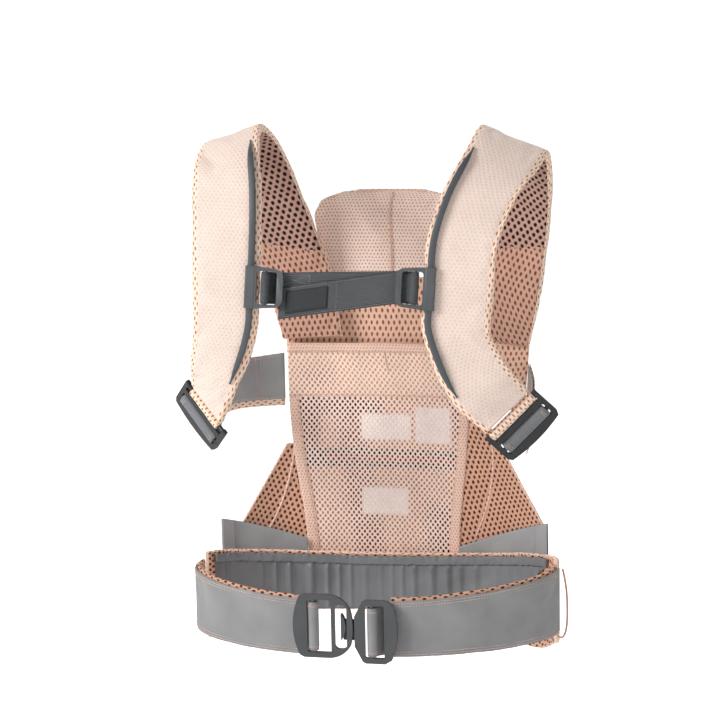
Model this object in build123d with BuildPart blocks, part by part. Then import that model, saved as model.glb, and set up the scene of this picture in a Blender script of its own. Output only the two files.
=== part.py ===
"""Soft baby carrier, as worn: waist ring, front panel and two padded shoulder straps.

Frame: origin at the centre of the waist ring, +Z up, +X to the wearer's right,
-Y towards the wearer's back (back strap, waist buckle) and +Y towards the baby (front panel).
All sizes are in millimetres.
"""
from build123d import *
import math
import os

os.makedirs("parts", exist_ok=True)

# ---- driving dimensions ------------------------------------------------------------------
# waist ring: every layer is an ellipse in plan, this far from the ring's own outline
RING_HALF_WIDTH = 235.0
RING_HALF_DEPTH = 113.0
BELT_FABRIC = 2.4
BELT_FOAM = 6.0
LAYER_GAP = 0.4
HIP_PAD = 9.0
GATHERED = 3.0
HEM_HEIGHT = 12.0
HEM_DEPTH = 6.0

# padded shoulder straps
FOAM_HALF = 4.0
COVER = 2.2
LINING = 3.0
STRAP_GAP = 0.2
COVER_TOP = FOAM_HALF + STRAP_GAP + COVER

# rails along the inner edges of the straps, and the sliders that run on them
RAIL_LEAN = 0.06            # sideways travel per millimetre of height
RAIL_SLOPE = 0.07           # fore-and-aft travel per millimetre of height
RAIL_INSET = 9.0
RAIL_WIDTH = 8.0
RAIL_HEAD = 4.4
RAIL_WEB = 2.4
RAIL_WEB_WIDTH = 2.0
SLIDE_HEIGHT = 408.0
SLIDER_HEIGHT = 51.0
WEBBING = 38.0
WEBBING_THICK = 1.8

# round bars inside fabric loops
BAR_RADIUS = 3.0
BAR_FIT = 0.08
LOOP_RADIUS = 7.0

# front panel
FOLD_HEIGHT = 394.0
PANEL_CLOTH = 3.0
POCKET_CLOTH = 1.6


def vector(point):
    return Vector(*point)


def save(part, name):
    part.label = name
    export_step(part, f"parts/{name}.step")


def station_plane(start, end, outward, height):
    """Plane across a band: x runs from start to end, y is outward, raised by height."""
    across = (vector(end) - vector(start)).normalized()
    out = vector(outward)
    out = (out - across * out.dot(across)).normalized()
    return Plane(origin=vector(start) + out * height, x_dir=across, z_dir=across.cross(out))


def band_layer(stations, low, high, inset=0.0):
    """One layer of a band that runs through its stations, from height low to height high."""
    with BuildPart() as layer:
        for start, end, outward, fullness in stations:
            width = (vector(end) - vector(start)).length - 2 * inset
            with BuildSketch(station_plane(start, end, outward, low * fullness)):
                with Locations((inset, 0)):
                    Rectangle(width, (high - low) * fullness, align=(Align.MIN, Align.MIN))
        loft(ruled=True)
    return layer.part


# ---- shoulder straps ---------------------------------------------------------------------
# Each station is (inner edge, outer edge, outward direction, fullness), from the end at the
# side buckle, up the back, over the shoulder and down the front. The rail's stretch is straight.
SLIDE_DIRECTION = Vector(RAIL_LEAN, RAIL_SLOPE, 1).normalized()
RAIL_LOW = 364.0
RAIL_HIGH = 452.0
BACK_OUTWARD = (0, -1, RAIL_SLOPE)


def rail_stretch(edge_x, edge_y, side, low_width, high_width):
    """The two stations of the straight stretch, whose inner edge passes (edge_x, edge_y)
    at SLIDE_HEIGHT."""
    across = Vector(side, 0, -side * RAIL_LEAN).normalized()
    ends = []
    for height, width in ((RAIL_LOW, low_width), (RAIL_HIGH, high_width)):
        rise = height - SLIDE_HEIGHT
        inner = Vector(edge_x + RAIL_LEAN * rise, edge_y + RAIL_SLOPE * rise, height)
        outer = inner + across * width
        ends.append((tuple(inner), tuple(outer), BACK_OUTWARD, 1.0))
    return ends


LEFT_EDGE = (-112.5, -108.0)
RIGHT_EDGE = (88.0, -108.0)

left_stations = [
    ((-168, -98, 237), (-205, -84, 280), (-0.5, -0.85, 0.0), 0.9),
    ((-143, -106, 286), (-203, -101, 308), (-0.15, -1, 0.05), 1.0),
    ((-124, -109, 330), (-199, -104, 338), (-0.05, -1, 0), 1.0),
    *rail_stretch(*LEFT_EDGE, -1, 80, 85),
    ((-110, -92, 519), (-198, -85, 522), (0, -1, 0.35), 1.0),
    ((-120, -59, 569), (-200, -58, 553), (-0.1, -0.75, 0.65), 1.0),
    ((-129, -8, 592), (-199, -12, 569), (-0.3, -0.05, 1), 1.0),
    ((-122, 38, 572), (-198, 30, 549), (-0.2, 0.65, 0.75), 1.0),
    ((-108, 68, 524), (-194, 60, 505), (0, 0.93, 0.35), 1.0),
    ((-90, 87, 464), (-178, 82, 450), (0, 1, 0.28), 1.0),
    ((-72, 98, 405), (-160, 95, 392), (0, 1, 0.15), 0.8),
    ((-58, 103, 314), (-138, 102, 309), (0, 1, 0.05), 0.5),
]

right_stations = [
    ((158, -95, 231), (209, -86, 283), (0.35, -0.92, 0.0), 0.9),
    ((119, -105, 273), (188, -102, 314), (0.1, -1, 0.0), 1.0),
    ((96, -109, 321), (173, -105, 340), (0.05, -1, 0.0), 1.0),
    *rail_stretch(*RIGHT_EDGE, 1, 82, 84),
    ((107, -92, 514), (196, -81, 511), (0, -1, 0.35), 1.0),
    ((128, -64, 559), (216, -52, 541), (0.15, -0.75, 0.65), 1.0),
    ((141, -8, 589), (225, -14, 556), (0.4, -0.05, 1), 1.0),
    ((140, 40, 566), (224, 24, 522), (0.3, 0.65, 0.7), 1.0),
    ((132, 68, 520), (220, 52, 478), (0.15, 0.93, 0.3), 1.0),
    ((120, 88, 460), (212, 72, 425), (0.15, 1, 0.2), 1.0),
    ((106, 98, 400), (201, 83, 365), (0.15, 1, 0.1), 0.8),
    ((98, 103, 318), (187, 90, 304), (0.1, 1, 0.05), 0.5),
]

STRAPS = {"left": left_stations, "right": right_stations}
LINING_LOW = -FOAM_HALF - STRAP_GAP - LINING
COVER_LOW = FOAM_HALF + STRAP_GAP
EDGE_WALL = 2.0

for side, stations in STRAPS.items():
    save(band_layer(stations, -FOAM_HALF, FOAM_HALF, EDGE_WALL), f"shoulder_pad_{side}")
    save(band_layer(stations, COVER_LOW, COVER_TOP), f"shoulder_cover_{side}")
    save(band_layer(stations, LINING_LOW, -COVER_LOW), f"shoulder_lining_{side}")


def rail(stations):
    """Rail: a flat head on a thin web, sewn along the inner edge of the strap's cover."""
    with BuildPart() as tape:
        for width, low, high in (
            (RAIL_WEB_WIDTH, 0.0, RAIL_WEB + 0.1),
            (RAIL_WIDTH, RAIL_WEB, RAIL_WEB + RAIL_HEAD),
        ):
            for start, end, outward, fullness in stations:
                height = COVER_TOP * fullness + low
                with BuildSketch(station_plane(start, end, outward, height)):
                    with Locations((RAIL_INSET, (high - low) / 2)):
                        Rectangle(width, high - low)
            loft(ruled=True)
    return tape.part


RAIL_STATIONS = slice(1, 7)
for side, stations in STRAPS.items():
    save(rail(stations[RAIL_STATIONS]), f"rail_{side}")

# ---- back strap: two sliders, one webbing that doubles back, blank patch --------------------
CHANNEL_FIT = 0.3
CHANNEL_WALL = 1.8
CHANNEL_LIP = 1.2
LIP_CLEAR = 0.6
CHANNEL_MOUTH = RAIL_WEB_WIDTH + 1.6
FRAME_REACH = 41.0
FRAME_THICK = 5.0
WINDOW_NEAR = 8.0
WINDOW_FAR = 33.5
WINDOW_HEIGHT = 40.0
SLIDER_BAR = 18.5
RAIL_CENTRE = COVER_TOP + RAIL_WEB + RAIL_HEAD / 2
FRAME_LEVEL = RAIL_CENTRE + 1.2
INNER_LAYER = -8.2
OUTER_LAYER = -5.4


def slider_axes(edge, side):
    """Rail centre at SLIDE_HEIGHT, the direction to the other strap, and outward."""
    towards = Vector(-side, 0, side * RAIL_LEAN).normalized()
    out = vector(BACK_OUTWARD)
    out = (out - towards * out.dot(towards)).normalized()
    centre = Vector(edge[0], edge[1], SLIDE_HEIGHT) - towards * RAIL_INSET + out * RAIL_CENTRE
    return centre, towards, out


def slider(edge, side):
    """Slider: a C channel round the rail's head, and a D frame with a bar across its window."""
    centre, towards, out = slider_axes(edge, side)
    across = Plane(origin=centre, x_dir=towards, z_dir=towards.cross(out))
    face = Plane(origin=centre + out * (FRAME_LEVEL - RAIL_CENTRE), x_dir=towards, z_dir=out)
    cavity_width = RAIL_WIDTH + 2 * CHANNEL_FIT
    front = RAIL_HEAD / 2 + CHANNEL_FIT + CHANNEL_WALL
    back = -RAIL_HEAD / 2 - RAIL_WEB + LIP_CLEAR
    body_width = cavity_width + 2 * CHANNEL_WALL
    half = SLIDER_HEIGHT / 2
    root = body_width / 2 - 1
    bend = FRAME_REACH - 10
    with BuildPart() as body:
        with BuildSketch(face):
            with BuildLine():
                Polyline((root, -half), (root, half), (bend, half - 2.5))
                RadiusArc((bend, half - 2.5), (FRAME_REACH, half - 12.5), 10.2)
                Line((FRAME_REACH, half - 12.5), (FRAME_REACH, 12.5 - half))
                RadiusArc((FRAME_REACH, 12.5 - half), (bend, 2.5 - half), 10.2)
                Line((bend, 2.5 - half), (root, -half))
            make_face()
        extrude(amount=FRAME_THICK / 2, both=True)
        with BuildSketch(face):
            with Locations(((WINDOW_NEAR + WINDOW_FAR) / 2, 0)):
                RectangleRounded(WINDOW_FAR - WINDOW_NEAR, WINDOW_HEIGHT, 4)
        extrude(amount=FRAME_THICK, both=True, mode=Mode.SUBTRACT)
        with BuildSketch(across):
            with Locations((0, (front + back) / 2)):
                RectangleRounded(body_width, front - back, 1.6)
        extrude(amount=half, both=True)
        with BuildSketch(across):
            with Locations((0, (CHANNEL_FIT + RAIL_HEAD / 2 + back + CHANNEL_LIP) / 2)):
                Rectangle(cavity_width, CHANNEL_FIT + RAIL_HEAD / 2 - back - CHANNEL_LIP)
            with Locations((0, back)):
                Rectangle(CHANNEL_MOUTH, 4 * CHANNEL_LIP)
        extrude(amount=half + 1, both=True, mode=Mode.SUBTRACT)
        bar_plane = Plane(origin=centre + out * (FRAME_LEVEL - RAIL_CENTRE), x_dir=towards,
                          z_dir=towards.cross(out))
        with BuildSketch(bar_plane):
            with Locations((SLIDER_BAR, 0)):
                Circle(BAR_RADIUS)
        extrude(amount=WINDOW_HEIGHT / 2 + 1, both=True)
    return body.part


SLIDERS = {"left": (LEFT_EDGE, -1), "right": (RIGHT_EDGE, 1)}
for side, (edge, sign) in SLIDERS.items():
    save(slider(edge, sign), f"slider_{side}")

left_centre, left_towards, out = slider_axes(LEFT_EDGE, -1)
right_centre, right_towards, _ = slider_axes(RIGHT_EDGE, 1)
level = out * (FRAME_LEVEL - RAIL_CENTRE)
left_bar = left_centre + left_towards * SLIDER_BAR + level
right_bar = right_centre + right_towards * SLIDER_BAR + level
STRIP_LOOP = 6.0


def webbing_loop(bar, towards, layers):
    """Webbing wrapped round a slider's bar, with a tail behind the frame for each layer."""
    plane = Plane(origin=bar, x_dir=towards, z_dir=towards.cross(out))
    with BuildPart() as loop:
        with BuildSketch(plane):
            Circle(STRIP_LOOP)
            for layer in layers:
                with Locations((0, layer + WEBBING_THICK / 2)):
                    Rectangle(TAIL_REACH, WEBBING_THICK, align=(Align.MIN, Align.CENTER))
            with Locations((2, (INNER_LAYER + OUTER_LAYER) / 2 + WEBBING_THICK / 2)):
                Rectangle(4, OUTER_LAYER - INNER_LAYER + WEBBING_THICK)
            Circle(BAR_RADIUS + BAR_FIT, mode=Mode.SUBTRACT)
        extrude(amount=WEBBING / 2, both=True)
    return loop.part


def strip_plane(start, end, depth):
    """Plane of a flat strip between two points, depth outward from the frame's middle."""
    along = (end - start).normalized()
    facing = (out - along * out.dot(along)).normalized()
    return Plane(origin=(start + end) / 2 + facing * depth, x_dir=along, z_dir=facing)


def webbing_strip(start, end, depth):
    """Flat webbing between two points, with its back face at depth."""
    with BuildPart() as strip:
        with BuildSketch(strip_plane(start, end, depth)):
            Rectangle((end - start).length, WEBBING)
        extrude(amount=WEBBING_THICK)
    return strip.part


TAIL_REACH = 14.0
TAIL_JOIN = 13.0
left_loop = webbing_loop(left_bar, left_towards, [INNER_LAYER])
right_loop = webbing_loop(right_bar, right_towards, [INNER_LAYER, OUTER_LAYER])
inner_strip = webbing_strip(left_bar + left_towards * TAIL_JOIN,
                            right_bar + right_towards * TAIL_JOIN, INNER_LAYER)
with BuildPart() as back_webbing_inner:
    add(left_loop)
    add(right_loop)
    add(inner_strip)
save(back_webbing_inner.part, "back_webbing_inner")

FREE_END_DROP = 18.0
OUTER_START = 17.0
strip_right = right_bar + right_towards * OUTER_START
strip_left = left_bar + left_towards * OUTER_START - SLIDE_DIRECTION * FREE_END_DROP
save(webbing_strip(strip_left, strip_right, OUTER_LAYER), "back_webbing_outer")

PATCH_LENGTH = 52.0
PATCH_WIDTH = 26.0
PATCH_THICK = 0.8
PATCH_START = 8.0
patch_plane = strip_plane(strip_left, strip_right, OUTER_LAYER + WEBBING_THICK)
patch_offset = PATCH_LENGTH / 2 + PATCH_START - (strip_right - strip_left).length / 2
with BuildPart() as blank_patch:
    with BuildSketch(patch_plane):
        with Locations((patch_offset, 0)):
            RectangleRounded(PATCH_LENGTH, PATCH_WIDTH, 1.5)
    extrude(amount=PATCH_THICK)
save(blank_patch.part, "blank_patch")

# ---- side buckles at the lower ends of the shoulder straps ----------------------------------
HEM_REACH = 8.5
HEM_RADIUS = 6.0
BUCKLE_HALF = 42.0
BUCKLE_RIM = 6.0
BUCKLE_THICK = 5.0
CROSS_NEAR = 8.0
CROSS_FAR = 15.0
WEB_BAR = 24.5
RIM_NEAR = 33.0
RIM_FAR = 41.0
RIM_BULGE = 4.0
SIDE_BAND = 1.8
SLEEVE_LENGTH = 68.0


def buckle_axes(stations, lean):
    """Hem bar's centre, the direction away from the strap, along the bar, and outward."""
    start, end, outward, _ = stations[0]
    along = (vector(end) - vector(start)).normalized()
    away = vector(lean)
    away = (away - along * away.dot(along)).normalized()
    normal = away.cross(along).normalized()
    if normal.dot(vector(outward)) < 0:
        normal = normal * -1
    centre = (vector(start) + vector(end)) / 2 + away * HEM_REACH
    return centre, away, along, normal


BUCKLES = {
    "left": buckle_axes(left_stations, (-0.55, 0.58, -0.60)),
    "right": buckle_axes(right_stations, (0.55, 0.38, -0.74)),
}


def side_frame(centre, away, along, normal):
    """Side buckle: hem bar, cross member, webbing bar and bulged outer rim in one moulding."""
    face = Plane(origin=centre, x_dir=away, z_dir=normal)
    outer_half = BUCKLE_HALF - 3
    with BuildPart() as frame:
        with BuildSketch(face):
            with BuildLine():
                Polyline((RIM_FAR - 6, outer_half + 3), (-4, outer_half + 3),
                         (-4, -outer_half - 3), (RIM_FAR - 6, -outer_half - 3))
                Line((RIM_FAR - 6, -outer_half - 3), (RIM_FAR, -outer_half))
                ThreePointArc((RIM_FAR, -outer_half), (RIM_FAR + RIM_BULGE, 0),
                              (RIM_FAR, outer_half))
                Line((RIM_FAR, outer_half), (RIM_FAR - 6, outer_half + 3))
            make_face()
        extrude(amount=BUCKLE_THICK / 2, both=True)
        window_height = 2 * (BUCKLE_HALF - BUCKLE_RIM)
        with BuildSketch(face):
            with Locations(((CROSS_NEAR - 6) / 2, 0)):
                Rectangle(CROSS_NEAR + 6, window_height)
            with Locations(((CROSS_FAR + RIM_NEAR) / 2, 0)):
                RectangleRounded(RIM_NEAR - CROSS_FAR, window_height, 3)
        extrude(amount=BUCKLE_THICK, both=True, mode=Mode.SUBTRACT)
        with BuildSketch(Plane(origin=centre, x_dir=away, z_dir=along)):
            Circle(BAR_RADIUS)
            with Locations((WEB_BAR, 0)):
                Circle(BAR_RADIUS)
        extrude(amount=BUCKLE_HALF - 1, both=True)
    return frame.part


def sleeve(centre, axis_from, away, along, length, radius):
    """Fabric tube round a bar, with a running fit on it."""
    with BuildPart() as tube:
        with BuildSketch(Plane(origin=centre, x_dir=away, z_dir=along)):
            with Locations((axis_from, 0)):
                Circle(radius)
                Circle(BAR_RADIUS + BAR_FIT, mode=Mode.SUBTRACT)
        extrude(amount=length / 2, both=True)
    return tube.part


for side, (centre, away, along, normal) in BUCKLES.items():
    save(side_frame(centre, away, along, normal), f"side_frame_{side}")
    save(sleeve(centre, WEB_BAR, away, along, SLEEVE_LENGTH, LOOP_RADIUS), f"side_sleeve_{side}")
    start, end, _, _ = STRAPS[side][0]
    end_width = (vector(end) - vector(start)).length - 2
    save(sleeve(centre, 0, away, along, end_width, HEM_RADIUS), f"strap_hem_{side}")

# side straps: from the panel round the wearer's side to the sleeve in the side buckle
BAND_HALF = 29.0
BAND_CLEAR = 1.4


def band_end(side, past):
    """Station behind the buckle's sleeve, past it by the given distance."""
    centre, away, along, normal = BUCKLES[side]
    middle = centre + away * (WEB_BAR + past) - normal * (LOOP_RADIUS + BAND_CLEAR)
    return tuple(middle - along * BAND_HALF), tuple(middle + along * BAND_HALF)


left_band = [
    ((-138, 106, 229), (-138, 106, 290), (-0.45, 1, 0), 1.0),
    ((-167, 87, 230), (-167, 87, 288), (-0.7, 0.7, 0), 1.0),
    ((-196, 50, 231), (-197, 50, 288), (-0.95, 0.4, 0), 1.0),
    ((-210, 5, 222), (-215, 5, 280), (-1, 0.1, 0), 1.0),
    ((-207, -30, 208), (-221, -28, 264), (-1, 0, -0.1), 1.0),
    (*band_end("left", 12), tuple(BUCKLES["left"][3]), 1.0),
    (*band_end("left", -6), tuple(BUCKLES["left"][3]), 1.0),
]
right_band = [
    ((184, 89, 226), (187, 89, 284), (0.7, 0.7, 0), 1.0),
    ((192, 50, 214), (197, 50, 272), (1, 0.2, 0), 1.0),
    ((196, 5, 204), (203, 5, 262), (1, 0.05, 0), 1.0),
    ((196, -32, 198), (211, -28, 254), (1, 0, -0.1), 1.0),
    (*band_end("right", 10), tuple(BUCKLES["right"][3]), 1.0),
    (*band_end("right", -6), tuple(BUCKLES["right"][3]), 1.0),
]
BANDS = {"left": left_band, "right": right_band}
BACKING = 2.0
BACKING_STATIONS = 4
for side, stations in BANDS.items():
    save(band_layer(stations, -SIDE_BAND, 0), f"side_strap_{side}")
    backed = []
    for start, end, outward, fullness in stations[:BACKING_STATIONS]:
        low = vector(start) - Vector(0, 0, 9)
        backed.append((tuple(low), end, outward, fullness))
    save(band_layer(backed, LAYER_GAP, LAYER_GAP + BACKING), f"side_backing_{side}")

# ---- waist ring ------------------------------------------------------------------------------
def near_top(x):
    return 21.5 + 0.00028 * x * x + 0.025 * x


def near_bottom(x):
    return -48.5 + 0.00007 * x * x + 0.02 * x


def far_top(x):
    return 21.0 + 0.0004 * x * x + 0.02 * x


def lobe(x, centre, half_width, depth):
    """A rounded drop of the lower edge."""
    return depth * max(0.0, 1 - ((x - centre) / half_width) ** 2)


def far_bottom(x):
    return -56.0 - lobe(x, 205, 50, 26) - lobe(x, -225, 28, 20)


RING_STEP = 5


def ring_layer(first, last, inset, thickness, bottom, top):
    """A band of the ring between two angles in degrees, inset square to the ring's outline."""
    with BuildPart() as layer:
        for degrees in range(first, last + 1, RING_STEP):
            angle = math.radians(degrees)
            x = RING_HALF_WIDTH * math.cos(angle)
            y = RING_HALF_DEPTH * math.sin(angle)
            inward = Vector(-math.cos(angle) / RING_HALF_WIDTH, -math.sin(angle) / RING_HALF_DEPTH)
            inward = inward.normalized()
            plane = Plane(origin=Vector(x, y, bottom(x)) + inward * inset, x_dir=inward,
                          z_dir=inward.cross(Vector(0, 0, 1)))
            with BuildSketch(plane):
                Rectangle(thickness, top(x) - bottom(x), align=(Align.MIN, Align.MIN))
        loft(ruled=True)
    return layer.part


LINING_PEEK = 3.5
BELT_LEFT = (175, 255)
BELT_RIGHT = (280, 360)
for side, (first, last) in {"left": BELT_LEFT, "right": BELT_RIGHT}.items():
    save(ring_layer(first, last, 0.0, BELT_FABRIC, near_bottom, near_top), f"waist_belt_{side}")
    save(ring_layer(first, last, BELT_FABRIC + LAYER_GAP, BELT_FOAM, near_bottom,
                    lambda x: near_top(x) + LINING_PEEK), f"belt_lining_{side}")

PAD_SPAN = (5, 170)
LINED_SPAN = (15, 165)
save(ring_layer(*PAD_SPAN, 0.0, HIP_PAD, far_bottom, lambda x: far_top(x) + LINING_PEEK), "hip_pad")
GATHER_INSET = HIP_PAD + LAYER_GAP
GATHER_BOTTOM = -52.0
save(ring_layer(*LINED_SPAN, GATHER_INSET, GATHERED, lambda x: GATHER_BOTTOM,
                lambda x: far_top(x) - HEM_HEIGHT - LAYER_GAP), "gathered_lining")

ELASTIC_WALL = 1.4
ELASTIC_CLEAR = 0.3


def hem_layer(wall):
    """The hem at the lining's top edge, shrunk by a wall on every side."""
    return ring_layer(*LINED_SPAN, GATHER_INSET + wall, HEM_DEPTH - 2 * wall,
                      lambda x: far_top(x) - HEM_HEIGHT + wall, lambda x: far_top(x) - wall)


hem = hem_layer(0.0)
channel = hem_layer(ELASTIC_WALL)
with BuildPart() as hem_casing:
    add(hem)
    add(channel, mode=Mode.SUBTRACT)
save(hem_casing.part, "hem_casing")
save(hem_layer(ELASTIC_WALL + ELASTIC_CLEAR), "waist_elastic")

# ---- waist buckle --------------------------------------------------------------------------
BUCKLE_LEVEL = -121.0
FRAME_BAR = -53.0
HOOK_BAR = 20.0
FRAME_MIDDLE = -8.0
HOOK_MIDDLE = -13.0
WAIST_THICK = 5.0
SLOT_HEIGHT = 66.0
LOOP_HEIGHT = 62.0

with BuildPart() as waist_frame:
    frame_face = Plane(origin=(FRAME_BAR, BUCKLE_LEVEL, FRAME_MIDDLE), x_dir=(1, 0, 0),
                       z_dir=(0, -1, 0))
    with BuildSketch(frame_face):
        with BuildLine():
            ThreePointArc((-18, 37), (-26, 0), (-18, -37))
            Line((-18, -37), (-12, -40))
            Line((-12, -40), (20, -40))
            ThreePointArc((20, -40), (37, -34), (46, -24))
            ThreePointArc((46, -24), (49, 0), (46, 22))
            ThreePointArc((46, 22), (33, 36), (10, 40))
            Line((10, 40), (-12, 40))
            Line((-12, 40), (-18, 37))
        make_face()
    extrude(amount=WAIST_THICK / 2, both=True)
    with BuildSketch(frame_face):
        with Locations((7, 0)):
            RectangleRounded(30, SLOT_HEIGHT, 2)
        with Locations((34, 0)):
            RectangleRounded(15, 56, 6)
    extrude(amount=WAIST_THICK, both=True, mode=Mode.SUBTRACT)
    with BuildSketch(Plane(origin=(FRAME_BAR, BUCKLE_LEVEL, FRAME_MIDDLE))):
        Circle(BAR_RADIUS)
    extrude(amount=SLOT_HEIGHT / 2 + 1, both=True)
save(waist_frame.part, "waist_frame")

NECK_BACK = 7.5
NECK_FRONT = 4.2
NECK_HALF = 13.0
TIP_MIDDLE = 4.0
TIP_HALF = 17.0
TIP_PROUD = 1.5
with BuildPart() as waist_hook:
    hook_face = Plane(origin=(HOOK_BAR, BUCKLE_LEVEL, HOOK_MIDDLE), x_dir=(1, 0, 0),
                      z_dir=(0, -1, 0))
    with BuildSketch(hook_face):
        with BuildLine():
            Polyline((-22, 19), (-12, 38), (-8, 40), (18, 40), (26, 34))
            ThreePointArc((26, 34), (31, 0), (24, -35))
            Polyline((24, -35), (16, -40), (-8, -40), (-12, -38), (-22, -19), (-22, 19))
        make_face()
    extrude(amount=WAIST_THICK / 2, both=True)
    with BuildSketch(hook_face):
        with Locations((3, 0)):
            RectangleRounded(24, SLOT_HEIGHT, 2)
    extrude(amount=WAIST_THICK, both=True, mode=Mode.SUBTRACT)
    with BuildSketch(Plane(origin=(HOOK_BAR, BUCKLE_LEVEL, HOOK_MIDDLE))):
        Circle(BAR_RADIUS)
    extrude(amount=SLOT_HEIGHT / 2 + 1, both=True)
    with BuildSketch(Plane(origin=(HOOK_BAR, BUCKLE_LEVEL, HOOK_MIDDLE))):
        with BuildLine():
            Polyline((-17, 0), (-21, 0), (-21, NECK_FRONT), (-37, NECK_FRONT),
                     (-37, NECK_BACK), (-17, NECK_BACK), (-17, 0))
        make_face()
    extrude(amount=NECK_HALF, both=True)
    with BuildSketch(hook_face.offset(-NECK_BACK)):
        with BuildLine():
            Line((-39, TIP_MIDDLE - TIP_HALF), (-39, TIP_MIDDLE + TIP_HALF))
            ThreePointArc((-39, TIP_MIDDLE + TIP_HALF), (-33, TIP_MIDDLE),
                          (-39, TIP_MIDDLE - TIP_HALF))
        make_face()
    extrude(amount=NECK_BACK + TIP_PROUD)
save(waist_hook.part, "waist_hook")


def belt_loop(bar_x, middle, end_x, end_y):
    """Belt's end: a fabric tube round the buckle's bar, joined by a slanting web to the belt."""
    with BuildPart() as loop:
        base = Plane(origin=(bar_x, BUCKLE_LEVEL, middle))
        direction = Vector(end_x - bar_x, end_y - BUCKLE_LEVEL, 0)
        with BuildSketch(base):
            Circle(LOOP_RADIUS)
            angle = math.degrees(math.atan2(direction.Y, direction.X))
            with Locations(Location((0, 0, 0), (0, 0, angle))):
                Rectangle(direction.length, 3.6, align=(Align.MIN, Align.CENTER))
            Circle(BAR_RADIUS + BAR_FIT, mode=Mode.SUBTRACT)
        extrude(amount=LOOP_HEIGHT / 2, both=True)
    return loop.part


save(belt_loop(FRAME_BAR, FRAME_MIDDLE, -58.0, -110.5), "belt_loop_left")
save(belt_loop(HOOK_BAR, HOOK_MIDDLE, 38.5, -109.5), "belt_loop_right")

# keeper cord: an elastic loop at the belt's right end
CORD_DIAMETER = 2.6
cord_route = [
    (238.5, 2, 40), (242.5, 4, 20), (244, 5, -6), (243.5, 6, -32), (241, 6, -46), (236, 5, -52),
    (231, 4, -47),
]
corner_radii = []
for before, corner, after in zip(cord_route, cord_route[1:], cord_route[2:]):
    run_in = vector(corner) - vector(before)
    run_out = vector(after) - vector(corner)
    half_turn = math.radians(run_in.get_angle(run_out)) / 2
    corner_radii.append(0.45 * min(run_in.length, run_out.length) / math.tan(half_turn))
print("keeper cord radii:", [round(radius, 1) for radius in corner_radii])
with BuildPart() as keeper_cord:
    with BuildLine():
        cord_line = FilletPolyline(*cord_route, radius=corner_radii)
    with BuildSketch(Plane(origin=cord_line @ 0, z_dir=cord_line % 0)):
        Circle(CORD_DIAMETER / 2)
    sweep()
cord_volume = math.pi * (CORD_DIAMETER / 2) ** 2 * cord_line.length
print("keeper cord length", round(cord_line.length, 1),
      "volume ratio", round(keeper_cord.part.volume / cord_volume, 3))
save(keeper_cord.part, "keeper_cord")

# ---- front panel -----------------------------------------------------------------------------
def curtain(levels, thickness):
    """A curved sheet lofted through levels of (height, left, right, edge depth, middle depth)."""
    with BuildPart() as sheet:
        for height, left, right, edge, middle in levels:
            centre = (left + right) / 2
            with BuildSketch(Plane.XY.offset(height)):
                with BuildLine():
                    ThreePointArc((left, edge), (centre, middle), (right, edge))
                    Line((right, edge), (right, edge + thickness))
                    ThreePointArc((right, edge + thickness), (centre, middle + thickness),
                                  (left, edge + thickness))
                    Line((left, edge + thickness), (left, edge))
                make_face()
        loft(ruled=True)
    return sheet.part


panel_levels = [
    (-20, -111, 91, 113, 125),
    (60, -115, 93, 114, 126),
    (165, -129, 103, 114, 127),
    (250, -133, 107, 113, 125),
    (300, -136, 148, 112, 122),
    (FOLD_HEIGHT - 4, -137, 148, 110, 116),
]
save(curtain(panel_levels, PANEL_CLOTH), "front_panel")

pocket_levels = [
    (-18, -111, 91, 108, 119),
    (60, -115, 93, 108, 120),
    (165, -129, 103, 107, 119),
    (250, -133, 105, 105, 117),
    (303, -133, 89, 104, 114),
]
save(curtain(pocket_levels, POCKET_CLOTH), "pocket_panel")

head_levels = [
    (FOLD_HEIGHT + 2, -84, 84, 112, 117),
    (450, -92, 88, 113, 119),
    (480, -93, 88, 115, 122),
    (496, -72, 76, 118, 124),
    (503, -30, 40, 122, 124.5),
]
HEAD_PAD = 4.0
save(curtain(head_levels, HEAD_PAD), "head_support")

BUTTON_RADIUS = 6.0
with BuildPart() as head_buttons:
    with BuildSketch(Plane(origin=(0, 122.0, 470), x_dir=(-1, 0, 0), z_dir=(0, 1, 0))):
        with Locations((-78, 0), (82, 0)):
            Circle(BUTTON_RADIUS)
    extrude(amount=4.5)
save(head_buttons.part, "head_buttons")

# care labels and seat zip, between the two layers of the panel
PANEL_MIDDLE = -13.0


def panel_inside(x):
    """Depth of the outer layer's inner face at mid height."""
    return 126.5 - 13 * ((x - PANEL_MIDDLE) / 116) ** 2


LABELS = [(-6, 191, 66, 34), (57, 195, 48, 48), (-9, 91, 62, 36)]
LABEL_THICK = 0.6
LABEL_CLEAR = 1.2
with BuildPart() as care_labels:
    for x, z, width, height in LABELS:
        left_depth = panel_inside(x - width / 2) - LABEL_CLEAR
        right_depth = panel_inside(x + width / 2) - LABEL_CLEAR
        chord = Vector(width, right_depth - left_depth, 0).normalized()
        with BuildSketch(Plane(origin=(x, (left_depth + right_depth) / 2, z), x_dir=chord,
                               z_dir=chord.cross(Vector(0, 0, 1)))):
            Rectangle(width, height)
        extrude(amount=LABEL_THICK)
save(care_labels.part, "care_labels")

ZIP_HEIGHT = 149.0
ZIP_HALF_HEIGHT = 12.0
ZIP_LEFT = -110.0
ZIP_RIGHT = 84.0
ZIP_TAPE = 1.2
zip_edge = panel_inside(ZIP_RIGHT) - ZIP_TAPE - LABEL_CLEAR
zip_middle = panel_inside(PANEL_MIDDLE) - ZIP_TAPE - LABEL_CLEAR
zip_levels = [
    (ZIP_HEIGHT - ZIP_HALF_HEIGHT, ZIP_LEFT, ZIP_RIGHT, zip_edge, zip_middle),
    (ZIP_HEIGHT + ZIP_HALF_HEIGHT, ZIP_LEFT, ZIP_RIGHT, zip_edge, zip_middle),
]
save(curtain(zip_levels, ZIP_TAPE), "seat_zip")

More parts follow.
